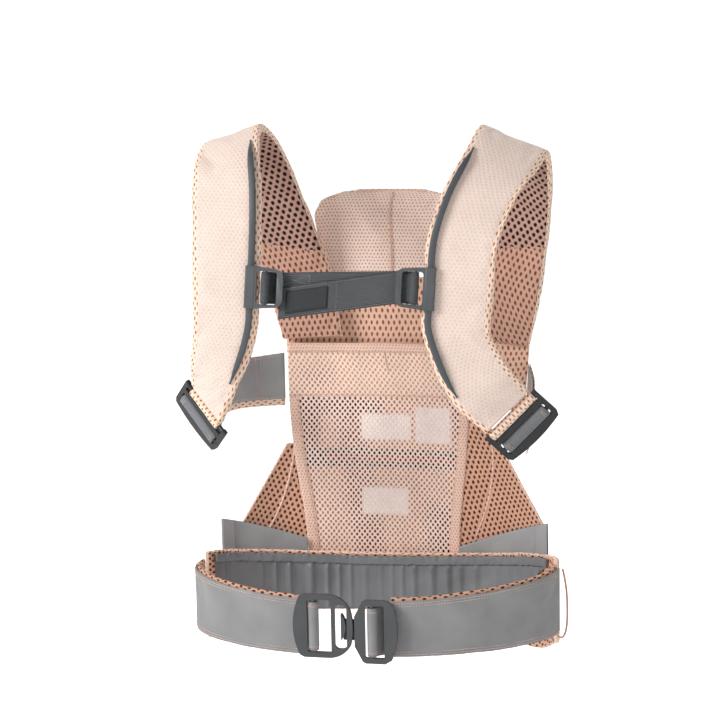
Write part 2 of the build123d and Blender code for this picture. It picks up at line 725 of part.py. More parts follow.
# leg gussets, seat trims and the right wing
def plate(corners, thickness, inward):
    """Flat cloth through its corners, thickened towards the wearer or away from them."""
    points = [vector(corner) for corner in corners]
    normal = (points[1] - points[0]).cross(points[2] - points[0]).normalized()
    if normal.Y * inward > 0:
        normal = normal * -1
    plane = Plane(origin=points[0], x_dir=(points[1] - points[0]).normalized(), z_dir=normal)
    local = [plane.to_local_coords(point) for point in points]
    with BuildPart() as cloth:
        with BuildSketch(plane):
            with BuildLine():
                Polyline(*[(point.X, point.Y) for point in local], close=True)
            make_face()
        extrude(amount=thickness)
    return cloth.part


GUSSET = 2.4
save(plate([(-119, 111, 50), (-135, 110, 166), (-197, 71, 84)], GUSSET, 1), "gusset_left")
save(plate([(97, 113, 44), (212, 58, 86), (158, 87, 166), (110, 107, 190)], GUSSET, 1),
     "gusset_right")

TRIM_OUT = -3.0
TRIM = 1.8
TRIM_LEFT = (120, 155)
TRIM_RIGHT = (25, 65)
save(ring_layer(*TRIM_LEFT, TRIM_OUT, TRIM, lambda x: 0.0, lambda x: 44 - 0.36 * (x + 118)),
     "seat_trim_left")
save(ring_layer(*TRIM_RIGHT, TRIM_OUT, TRIM, lambda x: 0.0, lambda x: 37 + 0.41 * (x - 95)),
     "seat_trim_right")

save(plate([(110, 104, 298), (183, 91, 296), (180, 92, 238), (110, 104, 192)], GUSSET, 1),
     "wing_right")

# ---- front clips: receiver, tongue, push button and webbing, on the baby's side -----------------
CLIP_WIDTH = 35.0
CLIP_DEPTH = 9.0
CLIP_LOW = 318.0
CLIP_HIGH = 354.0
CLIP_LEVEL = 121.0
TONGUE_WIDTH = 22.0
TONGUE_THICK = 3.0
BUTTON_WIDTH = 12.0
BUTTON_HEIGHT = 14.0
BUTTON_TRAVEL = 2.0
BUTTON_FIT = 0.3
CLIPS = {"left": -117.0, "right": 118.0}
tongue_level = CLIP_LEVEL + 3.0
button_middle = (CLIP_LOW + CLIP_HIGH) / 2 - 4

for side, x in CLIPS.items():
    with BuildPart() as clip_receiver:
        with BuildSketch(Plane.XY.offset(CLIP_LOW)):
            with Locations((x, CLIP_LEVEL + CLIP_DEPTH / 2)):
                RectangleRounded(CLIP_WIDTH, CLIP_DEPTH, 2.5)
        extrude(amount=CLIP_HIGH - CLIP_LOW)
        with BuildSketch(Plane.XY.offset(CLIP_LOW + 4)):
            with Locations((x, tongue_level)):
                Rectangle(TONGUE_WIDTH + 1, TONGUE_THICK + 1)
        extrude(amount=CLIP_HIGH - CLIP_LOW, mode=Mode.SUBTRACT)
        with BuildSketch(Plane(origin=(x, tongue_level, button_middle), x_dir=(-1, 0, 0),
                               z_dir=(0, 1, 0))):
            RectangleRounded(BUTTON_WIDTH + 2 * BUTTON_FIT, BUTTON_HEIGHT + 2 * BUTTON_FIT, 2)
        extrude(amount=CLIP_DEPTH, mode=Mode.SUBTRACT)
    save(clip_receiver.part, f"clip_receiver_{side}")

    with BuildPart() as clip_tongue:
        with BuildSketch(Plane(origin=(x, tongue_level, CLIP_LOW + 5), x_dir=(1, 0, 0),
                               z_dir=(0, -1, 0))):
            with Locations((0, 0)):
                Rectangle(TONGUE_WIDTH, 34, align=(Align.CENTER, Align.MIN))
            with Locations((0, 34)):
                Rectangle(TONGUE_WIDTH + 6, 14, align=(Align.CENTER, Align.MIN))
            with Locations((0, button_middle - CLIP_LOW - 5)):
                Rectangle(BUTTON_WIDTH - 2, BUTTON_HEIGHT, mode=Mode.SUBTRACT)
            with Locations((0, 41)):
                Rectangle(TONGUE_WIDTH - 1, 5, mode=Mode.SUBTRACT)
        extrude(amount=TONGUE_THICK / 2, both=True)
    save(clip_tongue.part, f"clip_tongue_{side}")

    with BuildPart() as clip_button:
        with BuildSketch(Plane(origin=(x, CLIP_LEVEL + CLIP_DEPTH + 1.2, button_middle),
                               x_dir=(-1, 0, 0), z_dir=(0, 1, 0))):
            RectangleRounded(BUTTON_WIDTH, BUTTON_HEIGHT, 2)
        extrude(amount=-(CLIP_DEPTH + 1.2 - 3.0 - TONGUE_THICK / 2 - BUTTON_TRAVEL - 0.4))
    save(clip_button.part, f"clip_button_{side}")

CLIP_WEB_HALF = 10.0
LEFT_WEB_LEAN = -4.0
for side, x in CLIPS.items():
    front = 0.0 if side == "left" else -3.0
    heights = [
        (tongue_level + 2.2, CLIP_LOW + 42), (tongue_level + 2.2, CLIP_LOW + 56),
        (112.5 + front, 405), (106 + front, 432), (101 + front, 452),
    ]
    path = [((x - CLIP_WEB_HALF, y, z), (x + CLIP_WEB_HALF, y, z), (0, 1, 0.2), 1.0)
            for y, z in heights]
    save(band_layer(path, 0, 1.6), f"clip_webbing_{side}")
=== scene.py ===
# %% [markdown]
# # Soft baby carrier, as worn
# The carrier is mostly cloth: two padded shoulder straps, a mesh panel, a waist belt and thin
# gathered lining. The moulded rails, sliders and buckles already have their true shape in the
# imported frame. So this lesson keeps the mouldings, and works out every soft piece as a grid of
# points in numpy, in millimetres, before one function turns it into a mesh in metres.

import math

import bpy
import numpy as np
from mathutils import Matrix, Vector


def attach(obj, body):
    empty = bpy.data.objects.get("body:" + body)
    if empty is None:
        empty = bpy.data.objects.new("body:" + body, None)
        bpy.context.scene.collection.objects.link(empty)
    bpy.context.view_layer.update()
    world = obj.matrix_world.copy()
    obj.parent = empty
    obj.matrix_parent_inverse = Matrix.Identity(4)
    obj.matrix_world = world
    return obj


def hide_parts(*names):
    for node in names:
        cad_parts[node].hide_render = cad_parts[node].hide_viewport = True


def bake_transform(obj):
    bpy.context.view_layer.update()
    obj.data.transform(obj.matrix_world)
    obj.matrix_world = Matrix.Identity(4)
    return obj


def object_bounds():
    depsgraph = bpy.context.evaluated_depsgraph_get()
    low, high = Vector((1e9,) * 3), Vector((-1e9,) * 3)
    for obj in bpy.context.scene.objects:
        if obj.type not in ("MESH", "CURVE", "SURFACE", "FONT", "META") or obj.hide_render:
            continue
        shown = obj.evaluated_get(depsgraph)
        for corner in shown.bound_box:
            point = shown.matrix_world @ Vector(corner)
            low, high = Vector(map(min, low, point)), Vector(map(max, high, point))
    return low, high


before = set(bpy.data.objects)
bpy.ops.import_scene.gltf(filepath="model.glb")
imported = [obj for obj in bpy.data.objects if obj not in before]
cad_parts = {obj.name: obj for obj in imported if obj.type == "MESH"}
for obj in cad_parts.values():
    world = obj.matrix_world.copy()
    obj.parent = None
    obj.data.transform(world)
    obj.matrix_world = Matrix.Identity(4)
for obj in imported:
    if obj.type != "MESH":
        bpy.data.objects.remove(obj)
cad_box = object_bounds()
MM = 0.001
print("nodes in the frame:", len(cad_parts))

# %% [markdown]
# ## Camera
# The camera comes first, because every later choice of detail depends on how large a millimetre
# looks. It stands behind the wearer, a little to their right and above the belt, with a long lens
# that keeps the straps nearly parallel. The carrier leans by a degree, so the camera rolls by one.

# %% camera
AZIMUTH = math.radians(12)
ELEVATION = math.radians(10)
ROLL = math.radians(1.2)
DISTANCE = 2600.0
TARGET = np.array([-14.0, 0.0, 301.0])

back = np.array([math.sin(AZIMUTH) * math.cos(ELEVATION),
                 -math.cos(AZIMUTH) * math.cos(ELEVATION), math.sin(ELEVATION)])
right = np.array([math.cos(AZIMUTH), math.sin(AZIMUTH), 0.0])
up = np.cross(back, right)
rolled_right = right * math.cos(ROLL) - up * math.sin(ROLL)
rolled_up = up * math.cos(ROLL) + right * math.sin(ROLL)

camera = bpy.data.objects.new("camera", bpy.data.cameras.new("camera"))
camera.data.lens = 104
camera.data.sensor_width = 36
camera.data.clip_end = 50
pose = np.eye(4)
pose[:3, 0] = rolled_right
pose[:3, 1] = rolled_up
pose[:3, 2] = back
pose[:3, 3] = (TARGET + back * DISTANCE) * MM
camera.matrix_world = pose.T.tolist()
bpy.context.scene.collection.objects.link(camera)
bpy.context.scene.camera = camera
print("camera at", np.round(pose[:3, 3], 3))

# %% [markdown]
# ## Keeper cord
# A thin covered elastic loops out at the belt's right end to hold its spare length. It is one
# NURBS curve with a round bevel, so its length is the curve's own. The route's points are listed:
# out of the belt's top, down beside it, and back in under the lower edge. The bevel's depth is
# one, and each point's radius is the cord's own, because a curve's box in Blender grows by its
# points' radius.

# %% keeper cord
CORD_DIAMETER = 2.6
CORD_ROUTE = np.array([
    (238.5, 2, 40), (242.5, 4, 20), (244, 5, -6), (243.5, 6, -32), (241, 6, -46), (236, 5, -52),
    (231, 4, -47),
])
curve = bpy.data.curves.new("keeper_cord_line", "CURVE")
curve.dimensions = "3D"
curve.bevel_depth = 1.0
curve.bevel_resolution = 4
curve.resolution_u = 16
curve.use_fill_caps = True
spline = curve.splines.new("NURBS")
spline.points.add(len(CORD_ROUTE) - 1)
for point, place in zip(spline.points, CORD_ROUTE * MM):
    point.co = (*place, 1)
    point.radius = CORD_DIAMETER / 2 * MM
spline.order_u = 3
spline.use_endpoint_u = True
keeper_cord = bpy.data.objects.new("keeper_cord_line", curve)
bpy.context.scene.collection.objects.link(keeper_cord)
print("keeper cord points:", len(spline.points))

# %% [markdown]
# ## Colours and nodes
# Colours are written as they are seen, in sRGB hex, and one function turns them to the linear
# values that the renderer mixes. One small function adds a node with its settings and its inputs,
# where an input is either a plain value or another node's socket.

# %% colour and node helpers
def colour(code):
    """sRGB hex to linear: each channel is ((c + 0.055) / 1.055) ** 2.4, or c / 12.92 when dark."""
    channels = np.array([int(code[i:i + 2], 16) / 255 for i in (1, 3, 5)])
    linear = np.where(channels > 0.04045, ((channels + 0.055) / 1.055) ** 2.4, channels / 12.92)
    return (*linear, 1.0)


def add(tree, kind, inputs=None, **settings):
    """Adds one node: settings are its properties, and each input is a value or a socket."""
    node = tree.nodes.new(kind)
    for name, value in settings.items():
        setattr(node, name, value)
    for key, value in (inputs or {}).items():
        if isinstance(value, bpy.types.NodeSocket):
            tree.links.new(value, node.inputs[key])
        else:
            node.inputs[key].default_value = value
    return node


def start_material(name, roughness, **shader_values):
    """A new material with one Principled shader, whose constants are set on its own sockets."""
    material = bpy.data.materials.new(name)
    material.use_nodes = True
    tree = material.node_tree
    shader = tree.nodes["Principled BSDF"]
    shader.inputs["Roughness"].default_value = roughness
    for socket, value in shader_values.items():
        shader.inputs[socket.replace("_", " ")].default_value = value
    return material, tree, shader


# %% [markdown]
# ## Knitted mesh
# The pink cloth is a warp-knitted polyester mesh: rows of oval eyelets, each row shifted by half
# a step, with a soft matt yarn between them. Real holes would be thousands of tiny edges, so the
# eyelets are a lattice worked out in the material from the piece's own UV map, in millimetres.
# The same lattice gives the colour and the bump. A single open layer would let the eye through, so
# there the holes take their colour from an attribute that holds what lies behind each point.

# %% eyelet lattice
def eyelets(tree, step_across, step_along, hole_across, hole_along, wander):
    """Distance to the nearest eyelet's centre, as a share of the eyelet's radius.

    Rows are step_along apart. The row's number times a half is added to the position across,
    so each row is shifted by half a step. Both fractions are centred on zero, turned back to
    millimetres, divided by the radii, and their length is the distance. A slow noise moves the
    rows by up to wander millimetres, as handled cloth does.
    """
    uv = add(tree, "ShaderNodeUVMap", uv_map="cloth")
    drift = add(tree, "ShaderNodeTexNoise", {"Vector": uv.outputs[0], "Scale": 0.06})
    moved = add(tree, "ShaderNodeVectorMath", {0: drift.outputs["Color"], 1: (-0.5,) * 3})
    scaled = add(tree, "ShaderNodeVectorMath", {0: moved.outputs[0], "Scale": wander},
                 operation="SCALE")
    place = add(tree, "ShaderNodeVectorMath", {0: uv.outputs[0], 1: scaled.outputs[0]})
    split = add(tree, "ShaderNodeSeparateXYZ", {0: place.outputs[0]})
    rows = add(tree, "ShaderNodeMath", {0: split.outputs[0], 1: step_along}, operation="DIVIDE")
    row = add(tree, "ShaderNodeMath", {0: rows.outputs[0]}, operation="FLOOR")
    columns = add(tree, "ShaderNodeMath", {0: split.outputs[1], 1: step_across},
                  operation="DIVIDE")
    shifted = add(tree, "ShaderNodeMath", {0: row.outputs[0], 1: 0.5, 2: columns.outputs[0]},
                  operation="MULTIPLY_ADD")
    across = add(tree, "ShaderNodeMath", {0: shifted.outputs[0]}, operation="FRACT")
    along = add(tree, "ShaderNodeMath", {0: rows.outputs[0]}, operation="FRACT")
    cell = add(tree, "ShaderNodeCombineXYZ", {0: along.outputs[0], 1: across.outputs[0]})
    centred = add(tree, "ShaderNodeVectorMath", {0: cell.outputs[0], 1: (-0.5, -0.5, 0)})
    ratio = (2 * step_along / hole_along, 2 * step_across / hole_across, 0)
    sized = add(tree, "ShaderNodeVectorMath", {0: centred.outputs[0], 1: ratio},
                operation="MULTIPLY")
    return add(tree, "ShaderNodeVectorMath", {0: sized.outputs[0]}, operation="LENGTH").outputs[1]


print("eyelets ready")

# %% [markdown]
# ## The knit's colour and relief
# A distance below one is inside an eyelet. A soft step about one gives the eyelet's rim. It mixes
# the yarn's colour with what is seen through the hole, and it is the main part of the bump. Slow
# noise tints the yarn, because no two stretches of knit take the dye alike.

# %% knitted cloth
def mesh_cloth(name, yarn, hole, step, size, soft=0.35, wander=2.0, bump=0.5, shade=0.12):
    """Knitted mesh. step and size are (across, along) in millimetres: of the lattice, of a hole.

    hole is a hex colour, or the name of a colour attribute that holds what lies behind.
    """
    material, tree, shader = start_material(
        name, 0.86, Sheen_Weight=0.12, Sheen_Roughness=0.5, Specular_IOR_Level=0.2)
    distance = eyelets(tree, *step, *size, wander)
    solid = add(tree, "ShaderNodeMapRange", {0: distance, 1: 1 - soft, 2: 1 + soft},
                interpolation_type="SMOOTHSTEP").outputs[0]
    uv = add(tree, "ShaderNodeUVMap", uv_map="cloth")
    knit = add(tree, "ShaderNodeTexNoise", {"Vector": uv.outputs[0], "Scale": 1.1, "Detail": 2.0})
    blotch = add(tree, "ShaderNodeTexNoise", {"Vector": uv.outputs[0], "Scale": 0.03,
                                              "Detail": 3.0})
    mixed = add(tree, "ShaderNodeMath", {0: knit.outputs["Fac"], 1: blotch.outputs["Fac"]})
    tone = add(tree, "ShaderNodeMapRange", {0: mixed.outputs[0], 1: 0.6, 2: 1.4,
                                            3: 1 - shade, 4: 1 + shade * 0.5})
    if hole.startswith("#"):
        seen = colour(hole)
    else:
        seen = add(tree, "ShaderNodeAttribute", attribute_name=hole).outputs["Color"]
    plain = add(tree, "ShaderNodeMix", {0: solid, 6: seen, 7: colour(yarn)},
                data_type="RGBA")
    tinted = add(tree, "ShaderNodeVectorMath", {0: plain.outputs[2], "Scale": tone.outputs[0]},
                 operation="SCALE")
    tree.links.new(tinted.outputs[0], shader.inputs["Base Color"])
    height = add(tree, "ShaderNodeMath", {0: knit.outputs["Fac"], 1: 0.35, 2: solid},
                 operation="MULTIPLY_ADD")
    relief = add(tree, "ShaderNodeBump", {"Height": height.outputs[0], "Strength": bump,
                                          "Distance": 0.0012})
    tree.links.new(relief.outputs[0], shader.inputs["Normal"])
    return material


print("knitted cloth ready")

# %% [markdown]
# ## Rolls of mesh
# Every mesh in the carrier is the same knit cut from different rolls, so only the yarn's colour,
# the eyelets' sizes and what shows through the eyelets change. In the open meshes that is the
# layer or hollow behind, darkened by painted shade, down to near black in the spacer lining. The
# strap's cover is a closed knit whose dimples show the pale spacer yarn below, so its "hole" is a
# cool light grey.

# %% mesh rolls
COVER_KNIT = mesh_cloth("dimpled_cover_knit", "#f3dacb", "#ddd3d1", (5.4, 4.2), (2.6, 2.2),
                        soft=0.5, bump=0.35)
# painted shade: the spacer lining's near-black eyelets stand for its dark hollow
LINING_MESH = mesh_cloth("open_spacer_lining", "#c2998a", "#1c0f0b", (8.8, 7.2), (4.4, 5.6),
                         soft=0.22, bump=0.8)
EDGE_MESH = mesh_cloth("slanted_edge_mesh", "#fbe0cb", "#b4683c", (6.2, 6.0), (1.9, 4.2),
                       bump=0.6)
POCKET_MESH = mesh_cloth("fine_pocket_mesh", "#fde4d7", "behind", (6.9, 4.3), (2.9, 4.0),
                         soft=0.26, wander=3.0, bump=0.6)
PANEL_MESH = mesh_cloth("coarse_panel_mesh", "#eec4ad", "#9a5535", (7.4, 8.0), (2.7, 5.6),
                        wander=3.0, bump=0.7)
LOWER_MESH = mesh_cloth("lower_lining_mesh", "#cfa490", "#7a4028", (7.4, 8.0), (2.9, 5.6),
                        wander=3.0, bump=0.7)
HEAD_MESH = mesh_cloth("pin_hole_head_mesh", "#ffe6d8", "#b46a48", (4.6, 4.4), (1.7, 1.8),
                       bump=0.5)
GUSSET_MESH = mesh_cloth("coarse_gusset_mesh", "#dcab91", "#55230f", (7.6, 6.4), (3.4, 4.6),
                         wander=3.0, bump=0.8)
PINK_BINDING = mesh_cloth("knitted_binding", "#f4d2c1", "#cf9474", (4.2, 4.0), (1.5, 2.2),
                          bump=0.5)
print("mesh cloths made")

# %% [markdown]
# ## Woven greys
# The belt and the strap bands are a tightly woven polyester with a thin coating, which gives a
# dull satin shine. The gathered lining is the same yarn in a lighter weave. Webbing is much
# coarser: ribs run along it every two millimetres or so, crossed by the weft.

# %% woven cloth
def woven_cloth(name, code, rib, weft, roughness, bump, **shader_values):
    """Plain weave: a sine across every rib millimetres and a sine along every weft millimetres.

    Their product is the height of the threads. A slow noise lightens and darkens the colour by a
    few percent, and a finer one breaks up the threads.
    """
    material, tree, shader = start_material(name, roughness, **shader_values)
    uv = add(tree, "ShaderNodeUVMap", uv_map="cloth")
    waves = add(tree, "ShaderNodeVectorMath",
                {0: uv.outputs[0], 1: (2 * math.pi / weft, 2 * math.pi / rib, 0)},
                operation="MULTIPLY")
    sines = add(tree, "ShaderNodeVectorMath", {0: waves.outputs[0]}, operation="SINE")
    split = add(tree, "ShaderNodeSeparateXYZ", {0: sines.outputs[0]})
    threads = add(tree, "ShaderNodeMath", {0: split.outputs[0], 1: 0.5, 2: split.outputs[1]},
                  operation="MULTIPLY_ADD")
    fine = add(tree, "ShaderNodeTexNoise", {"Vector": uv.outputs[0], "Scale": 0.9})
    slow = add(tree, "ShaderNodeTexNoise", {"Vector": uv.outputs[0], "Scale": 0.02,
                                            "Detail": 4.0})
    height = add(tree, "ShaderNodeMath", {0: fine.outputs["Fac"], 1: 1.5, 2: threads.outputs[0]},
                 operation="MULTIPLY_ADD")
    relief = add(tree, "ShaderNodeBump", {"Height": height.outputs[0], "Strength": bump,
                                          "Distance": 0.0004})
    tree.links.new(relief.outputs[0], shader.inputs["Normal"])
    mixed = add(tree, "ShaderNodeMath", {0: threads.outputs[0], 1: 0.05, 2: slow.outputs["Fac"]},
                operation="MULTIPLY_ADD")
    tone = add(tree, "ShaderNodeMapRange", {0: mixed.outputs[0], 1: 0.3, 2: 0.7, 3: 0.86,
                                            4: 1.1})
    tinted = add(tree, "ShaderNodeVectorMath", {0: colour(code)[:3], "Scale": tone.outputs[0]},
                 operation="SCALE")
    tree.links.new(tinted.outputs[0], shader.inputs["Base Color"])
    return material


BELT_WEAVE = woven_cloth("coated_belt_weave", "#8d8d8e", 0.9, 0.9, 0.52, 0.10,
                         Specular_IOR_Level=0.45, Coat_Weight=0.08, Coat_Roughness=0.45)
TRIM_SATIN = woven_cloth("seat_trim_satin", "#9c9d9f", 0.8, 0.8, 0.45, 0.08,
                         Specular_IOR_Level=0.5, Sheen_Weight=0.1)
BAND_WEAVE = woven_cloth("side_band_weave", "#9b9c9d", 1.1, 1.1, 0.6, 0.15)
LINING_WEAVE = woven_cloth("gathered_lining_weave", "#75777a", 0.8, 0.8, 0.5, 0.08,
                           Specular_IOR_Level=0.45)
GREY_WEBBING = woven_cloth("ribbed_grey_webbing", "#7b7d80", 2.2, 1.2, 0.62, 0.5)
DARK_WEBBING = woven_cloth("ribbed_dark_webbing", "#4c4f52", 2.2, 1.2, 0.6, 0.6)
PATCH_WEAVE = woven_cloth("blank_patch_weave", "#26292c", 0.9, 1.6, 0.6, 0.4)
PINK_THREAD = woven_cloth("pink_sewing_thread", "#ecc3b4", 0.6, 0.6, 0.55, 0.2)
GREY_THREAD = woven_cloth("grey_sewing_thread", "#8a8d90", 0.6, 0.6, 0.55, 0.2)
LABEL_SATIN = woven_cloth("white_label_satin", "#f6f3f1", 0.7, 0.7, 0.4, 0.1)
ZIP_TAPE = woven_cloth("black_zip_tape", "#17110f", 1.4, 0.8, 0.7, 0.4)
print("woven cloths made")

# %% [markdown]
# ## Moulded plastics
# The buckles and sliders are acetal, moulded in a tool with a fine spark-eroded grain. That gives
# a soft, wide highlight. The pattern reads Object coordinates, because these pieces keep the
# frame's own mesh, which has no cloth UV map. The grain is drawn at half a millimetre.

# %% moulded plastic and rubber
def moulded(name, code, roughness, grain, **shader_values):
    """Moulded surface: noise at grain millimetres for the bump, slow noise for the roughness."""
    material, tree, shader = start_material(name, roughness, **shader_values)
    place = add(tree, "ShaderNodeTexCoord").outputs["Object"]
    fine = add(tree, "ShaderNodeTexNoise", {"Vector": place, "Scale": 1 / (grain * MM)})
    slow = add(tree, "ShaderNodeTexNoise", {"Vector": place, "Scale": 45.0, "Detail": 4.0})
    relief = add(tree, "ShaderNodeBump", {"Height": fine.outputs["Fac"], "Strength": 0.25,
                                          "Distance": 0.0002})
    tree.links.new(relief.outputs[0], shader.inputs["Normal"])
    gloss = add(tree, "ShaderNodeMapRange", {0: slow.outputs["Fac"], 1: 0.3, 2: 0.7,
                                             3: roughness - 0.06, 4: roughness + 0.08})
    tree.links.new(gloss.outputs[0], shader.inputs["Roughness"])
    tone = add(tree, "ShaderNodeMapRange", {0: slow.outputs["Fac"], 1: 0.3, 2: 0.7, 3: 0.92,
                                            4: 1.08})
    tinted = add(tree, "ShaderNodeVectorMath", {0: colour(code)[:3], "Scale": tone.outputs[0]},
                 operation="SCALE")
    tree.links.new(tinted.outputs[0], shader.inputs["Base Color"])
    return material


SLIDER_ACETAL = moulded("slider_acetal", "#54575a", 0.42, 0.5)
WAIST_ACETAL = moulded("waist_buckle_acetal", "#4b4d4f", 0.46, 0.5)
SIDE_ACETAL = moulded("side_buckle_acetal", "#2c2d2f", 0.4, 0.5)
CLIP_ACETAL = moulded("front_clip_acetal", "#5a5d60", 0.45, 0.5)
RAIL_RUBBER = moulded("rail_rubber", "#4d5154", 0.5, 0.6)
CORD_COVER = moulded("covered_cord", "#c99a84", 0.75, 0.5, Sheen_Weight=0.2)
ZIP_TEETH = moulded("dark_red_zip_teeth", "#8a1420", 0.4, 0.4)
print("plastics made")

# %% [markdown]
# ## From a grid of points to a closed cloth
# Every soft piece is the same kind of surface: a ring of points that is carried along a path. A
# ring's points run across the outer face, round the edge and back across the inner face, so the
# n-th point from the start lies behind the n-th point from the end. That pairing closes both ends
# with plain quads. Two UV distances are kept, in millimetres, so a weave has its real scale.

# %% ring mesh
def smooth(values, count, spacing=None, first=0.0, last=1.0):
    """Smooth curve through rows of values, at count places evenly spaced by chord length.

    Between two rows the curve is a cubic that passes both, with the slope at each row taken from
    its neighbours and weighted towards the nearer one. spacing gives the points that the chords
    are measured on, and first and last are the shares of the length that the places span.
    """
    values = np.asarray(values, float)
    flat = np.asarray(values if spacing is None else spacing, float).reshape(len(values), -1)
    chords = np.linalg.norm(np.diff(flat, axis=0), axis=1)
    travelled = np.concatenate([[0], np.cumsum(chords)])
    slope = np.gradient(values, travelled, axis=0)
    place = np.linspace(first, last, count) * travelled[-1]
    row = np.clip(np.searchsorted(travelled, place, side="right") - 1, 0, len(values) - 2)
    shape = (-1, *[1] * (values.ndim - 1))
    step = chords[row].reshape(shape)
    part = (place - travelled[row]).reshape(shape) / step
    rest = 1 - part
    return (rest ** 2 * ((1 + 2 * part) * values[row] + part * step * slope[row])
            + part ** 2 * ((1 + 2 * rest) * values[row + 1] - rest * step * slope[row + 1]))


def unit(vectors):
    """Each vector divided by its length."""
    return vectors / np.maximum(np.linalg.norm(vectors, axis=-1, keepdims=True), 1e-9)


print("smooth curves ready")

# %% [markdown]
# ## One mesh from its points
# All points come in one array and all quads in another, so a mesh is filled in a few calls. A
# closed shell's volume is positive when its faces point outwards, so a shell whose volume comes
# out negative has its faces turned round.

# %% points to a mesh
def mesh_object(name, points, faces, uvs, face_material, materials):
    """Points in millimetres and quads to an object in metres, turned so its volume is positive."""
    corners = points[faces]
    volume = np.einsum("ij,ij->", corners[:, 0] - points.mean(0),
                       np.cross(corners[:, 1] - corners[:, 0], corners[:, 2] - corners[:, 0])
                       + np.cross(corners[:, 2] - corners[:, 0], corners[:, 3] - corners[:, 0]))
    if volume < 0:
        faces = faces[:, ::-1]
        uvs = uvs[:, ::-1]
    data = bpy.data.meshes.new(name)
    data.from_pydata((points * MM).tolist(), [], faces.tolist())
    layer = data.uv_layers.new(name="cloth")
    layer.data.foreach_set("uv", uvs.reshape(-1).astype(np.float32))
    for material in materials:
        data.materials.append(material)
    data.polygons.foreach_set("material_index", face_material.astype(np.int32))
    data.polygons.foreach_set("use_smooth", np.ones(len(faces), bool))
    data.update()
    made = bpy.data.objects.new(name, data)
    bpy.context.scene.collection.objects.link(made)
    return made


print("mesh helper ready")

# %% [markdown]
# ## Rings
# A padded band, a hem and a bead are all rings carried along a path. A curve's bevel could do
# that too, but rings worked out in numpy keep an exact UV map in millimetres, and give the even
# quads that a cloth simulation needs.

# %% rings to a closed piece
def ring_piece(name, rings, materials, zones=None, mirrored=False):
    """Closed surface from rings of shape (rows, points, 3), with its two ends closed.

    The first UV is the mean distance travelled along the rows. The second is the distance round
    the ring from the middle of its outer half; mirrored repeats the outer half's on the inner.
    """
    rows, count, _ = rings.shape
    half = count // 2
    steps = np.linalg.norm(np.diff(rings, axis=0), axis=2).mean(1)
    along = np.concatenate([[0], np.cumsum(steps)])
    closed = np.concatenate([rings, rings[:, :1]], axis=1)
    around = np.concatenate([np.zeros((rows, 1)), np.cumsum(
        np.linalg.norm(np.diff(closed, axis=1), axis=2), axis=1)], axis=1)
    around -= around[:, [half // 2]]
    if mirrored:
        around[:, half:count] = around[:, :half][:, ::-1]
        around[:, count] = around[:, 0]
    uv = np.stack([np.repeat(along[:, None], count + 1, 1), around], axis=-1)
    index = np.arange(rows * count).reshape(rows, count)
    after = np.roll(index, -1, axis=1)
    sides = np.stack([index[:-1], after[:-1], after[1:], index[1:]], axis=-1)
    side_uv = np.stack([uv[:-1, :-1], uv[:-1, 1:], uv[1:, 1:], uv[1:, :-1]], axis=2)
    near = np.arange(half - 1)
    far = count - 1 - near
    first = np.stack([index[0, near], index[0, far], index[0, far - 1], index[0, near + 1]], -1)
    last = np.stack([index[-1, near + 1], index[-1, far - 1], index[-1, far], index[-1, near]], -1)
    first_uv = np.stack([uv[0, near], uv[0, far], uv[0, far - 1], uv[0, near + 1]], axis=1)
    last_uv = np.stack([uv[-1, near + 1], uv[-1, far - 1], uv[-1, far], uv[-1, near]], axis=1)
    faces = np.concatenate([sides.reshape(-1, 4), first, last])
    uvs = np.concatenate([side_uv.reshape(-1, 4, 2), first_uv, last_uv])
    if zones is None:
        zones = np.zeros((rows - 1, count), int)
    zones = np.broadcast_to(zones, (rows - 1, count))
    lid = np.full(len(first) + len(last), zones[0, 0])
    kinds = np.concatenate([zones.reshape(-1), lid])
    return mesh_object(name, rings.reshape(-1, 3), faces, uvs, kinds, materials)


def finish_piece(piece, body, slot, *nodes, level=0):
    """Smooths the piece when a level is given, ties it to its body, and hides the parts it
    replaces.
    """
    if level:
        finer = piece.modifiers.new("finer", "SUBSURF")
        finer.levels = level
        finer.render_levels = level
    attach(piece, body)
    if nodes:
        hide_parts(*nodes)
    return piece


print("ring helper ready")

# %% [markdown]
# ## Sheets
# A thin cloth is a grid of points with a thickness. Solidify could give it, but its edge would be
# square. So the grid is raised and lowered along its normals and thinned at its border, and the
# cloth's flat size is measured on the same grid.

# %% sheets of cloth
def sheet_rings(grid, thickness):
    """Rings of a sheet: its grid of shape (rows, columns, 3), raised and lowered by half of the
    thickness along its normals. The outermost rows and columns are thinned to round the edge."""
    down = np.gradient(grid, axis=0)
    over = np.gradient(grid, axis=1)
    normal = unit(np.cross(down, over))
    taper = np.ones(grid.shape[:2])
    taper[[0, -1]] *= 0.4
    taper[:, [0, -1]] *= 0.4
    rise = (normal.transpose(2, 0, 1) * (thickness * taper / 2)).transpose(1, 2, 0)
    return np.concatenate([grid + rise, (grid - rise)[:, ::-1]], axis=1)


def on_grid(grid, row_share, column_share):
    """Points on a grid at shares of its rows and columns, each a blend of the nearest four."""
    row = np.clip(np.asarray(row_share, float), 0, 1) * (grid.shape[0] - 1)
    column = np.clip(np.asarray(column_share, float), 0, 1) * (grid.shape[1] - 1)
    r, c = (np.minimum(v.astype(int), n - 2) for v, n in ((row, grid.shape[0]),
                                                           (column, grid.shape[1])))
    fr, fc = (row - r)[..., None], (column - c)[..., None]
    return ((grid[r, c] * (1 - fc) + grid[r, c + 1] * fc) * (1 - fr)
            + (grid[r + 1, c] * (1 - fc) + grid[r + 1, c + 1] * fc) * fr)


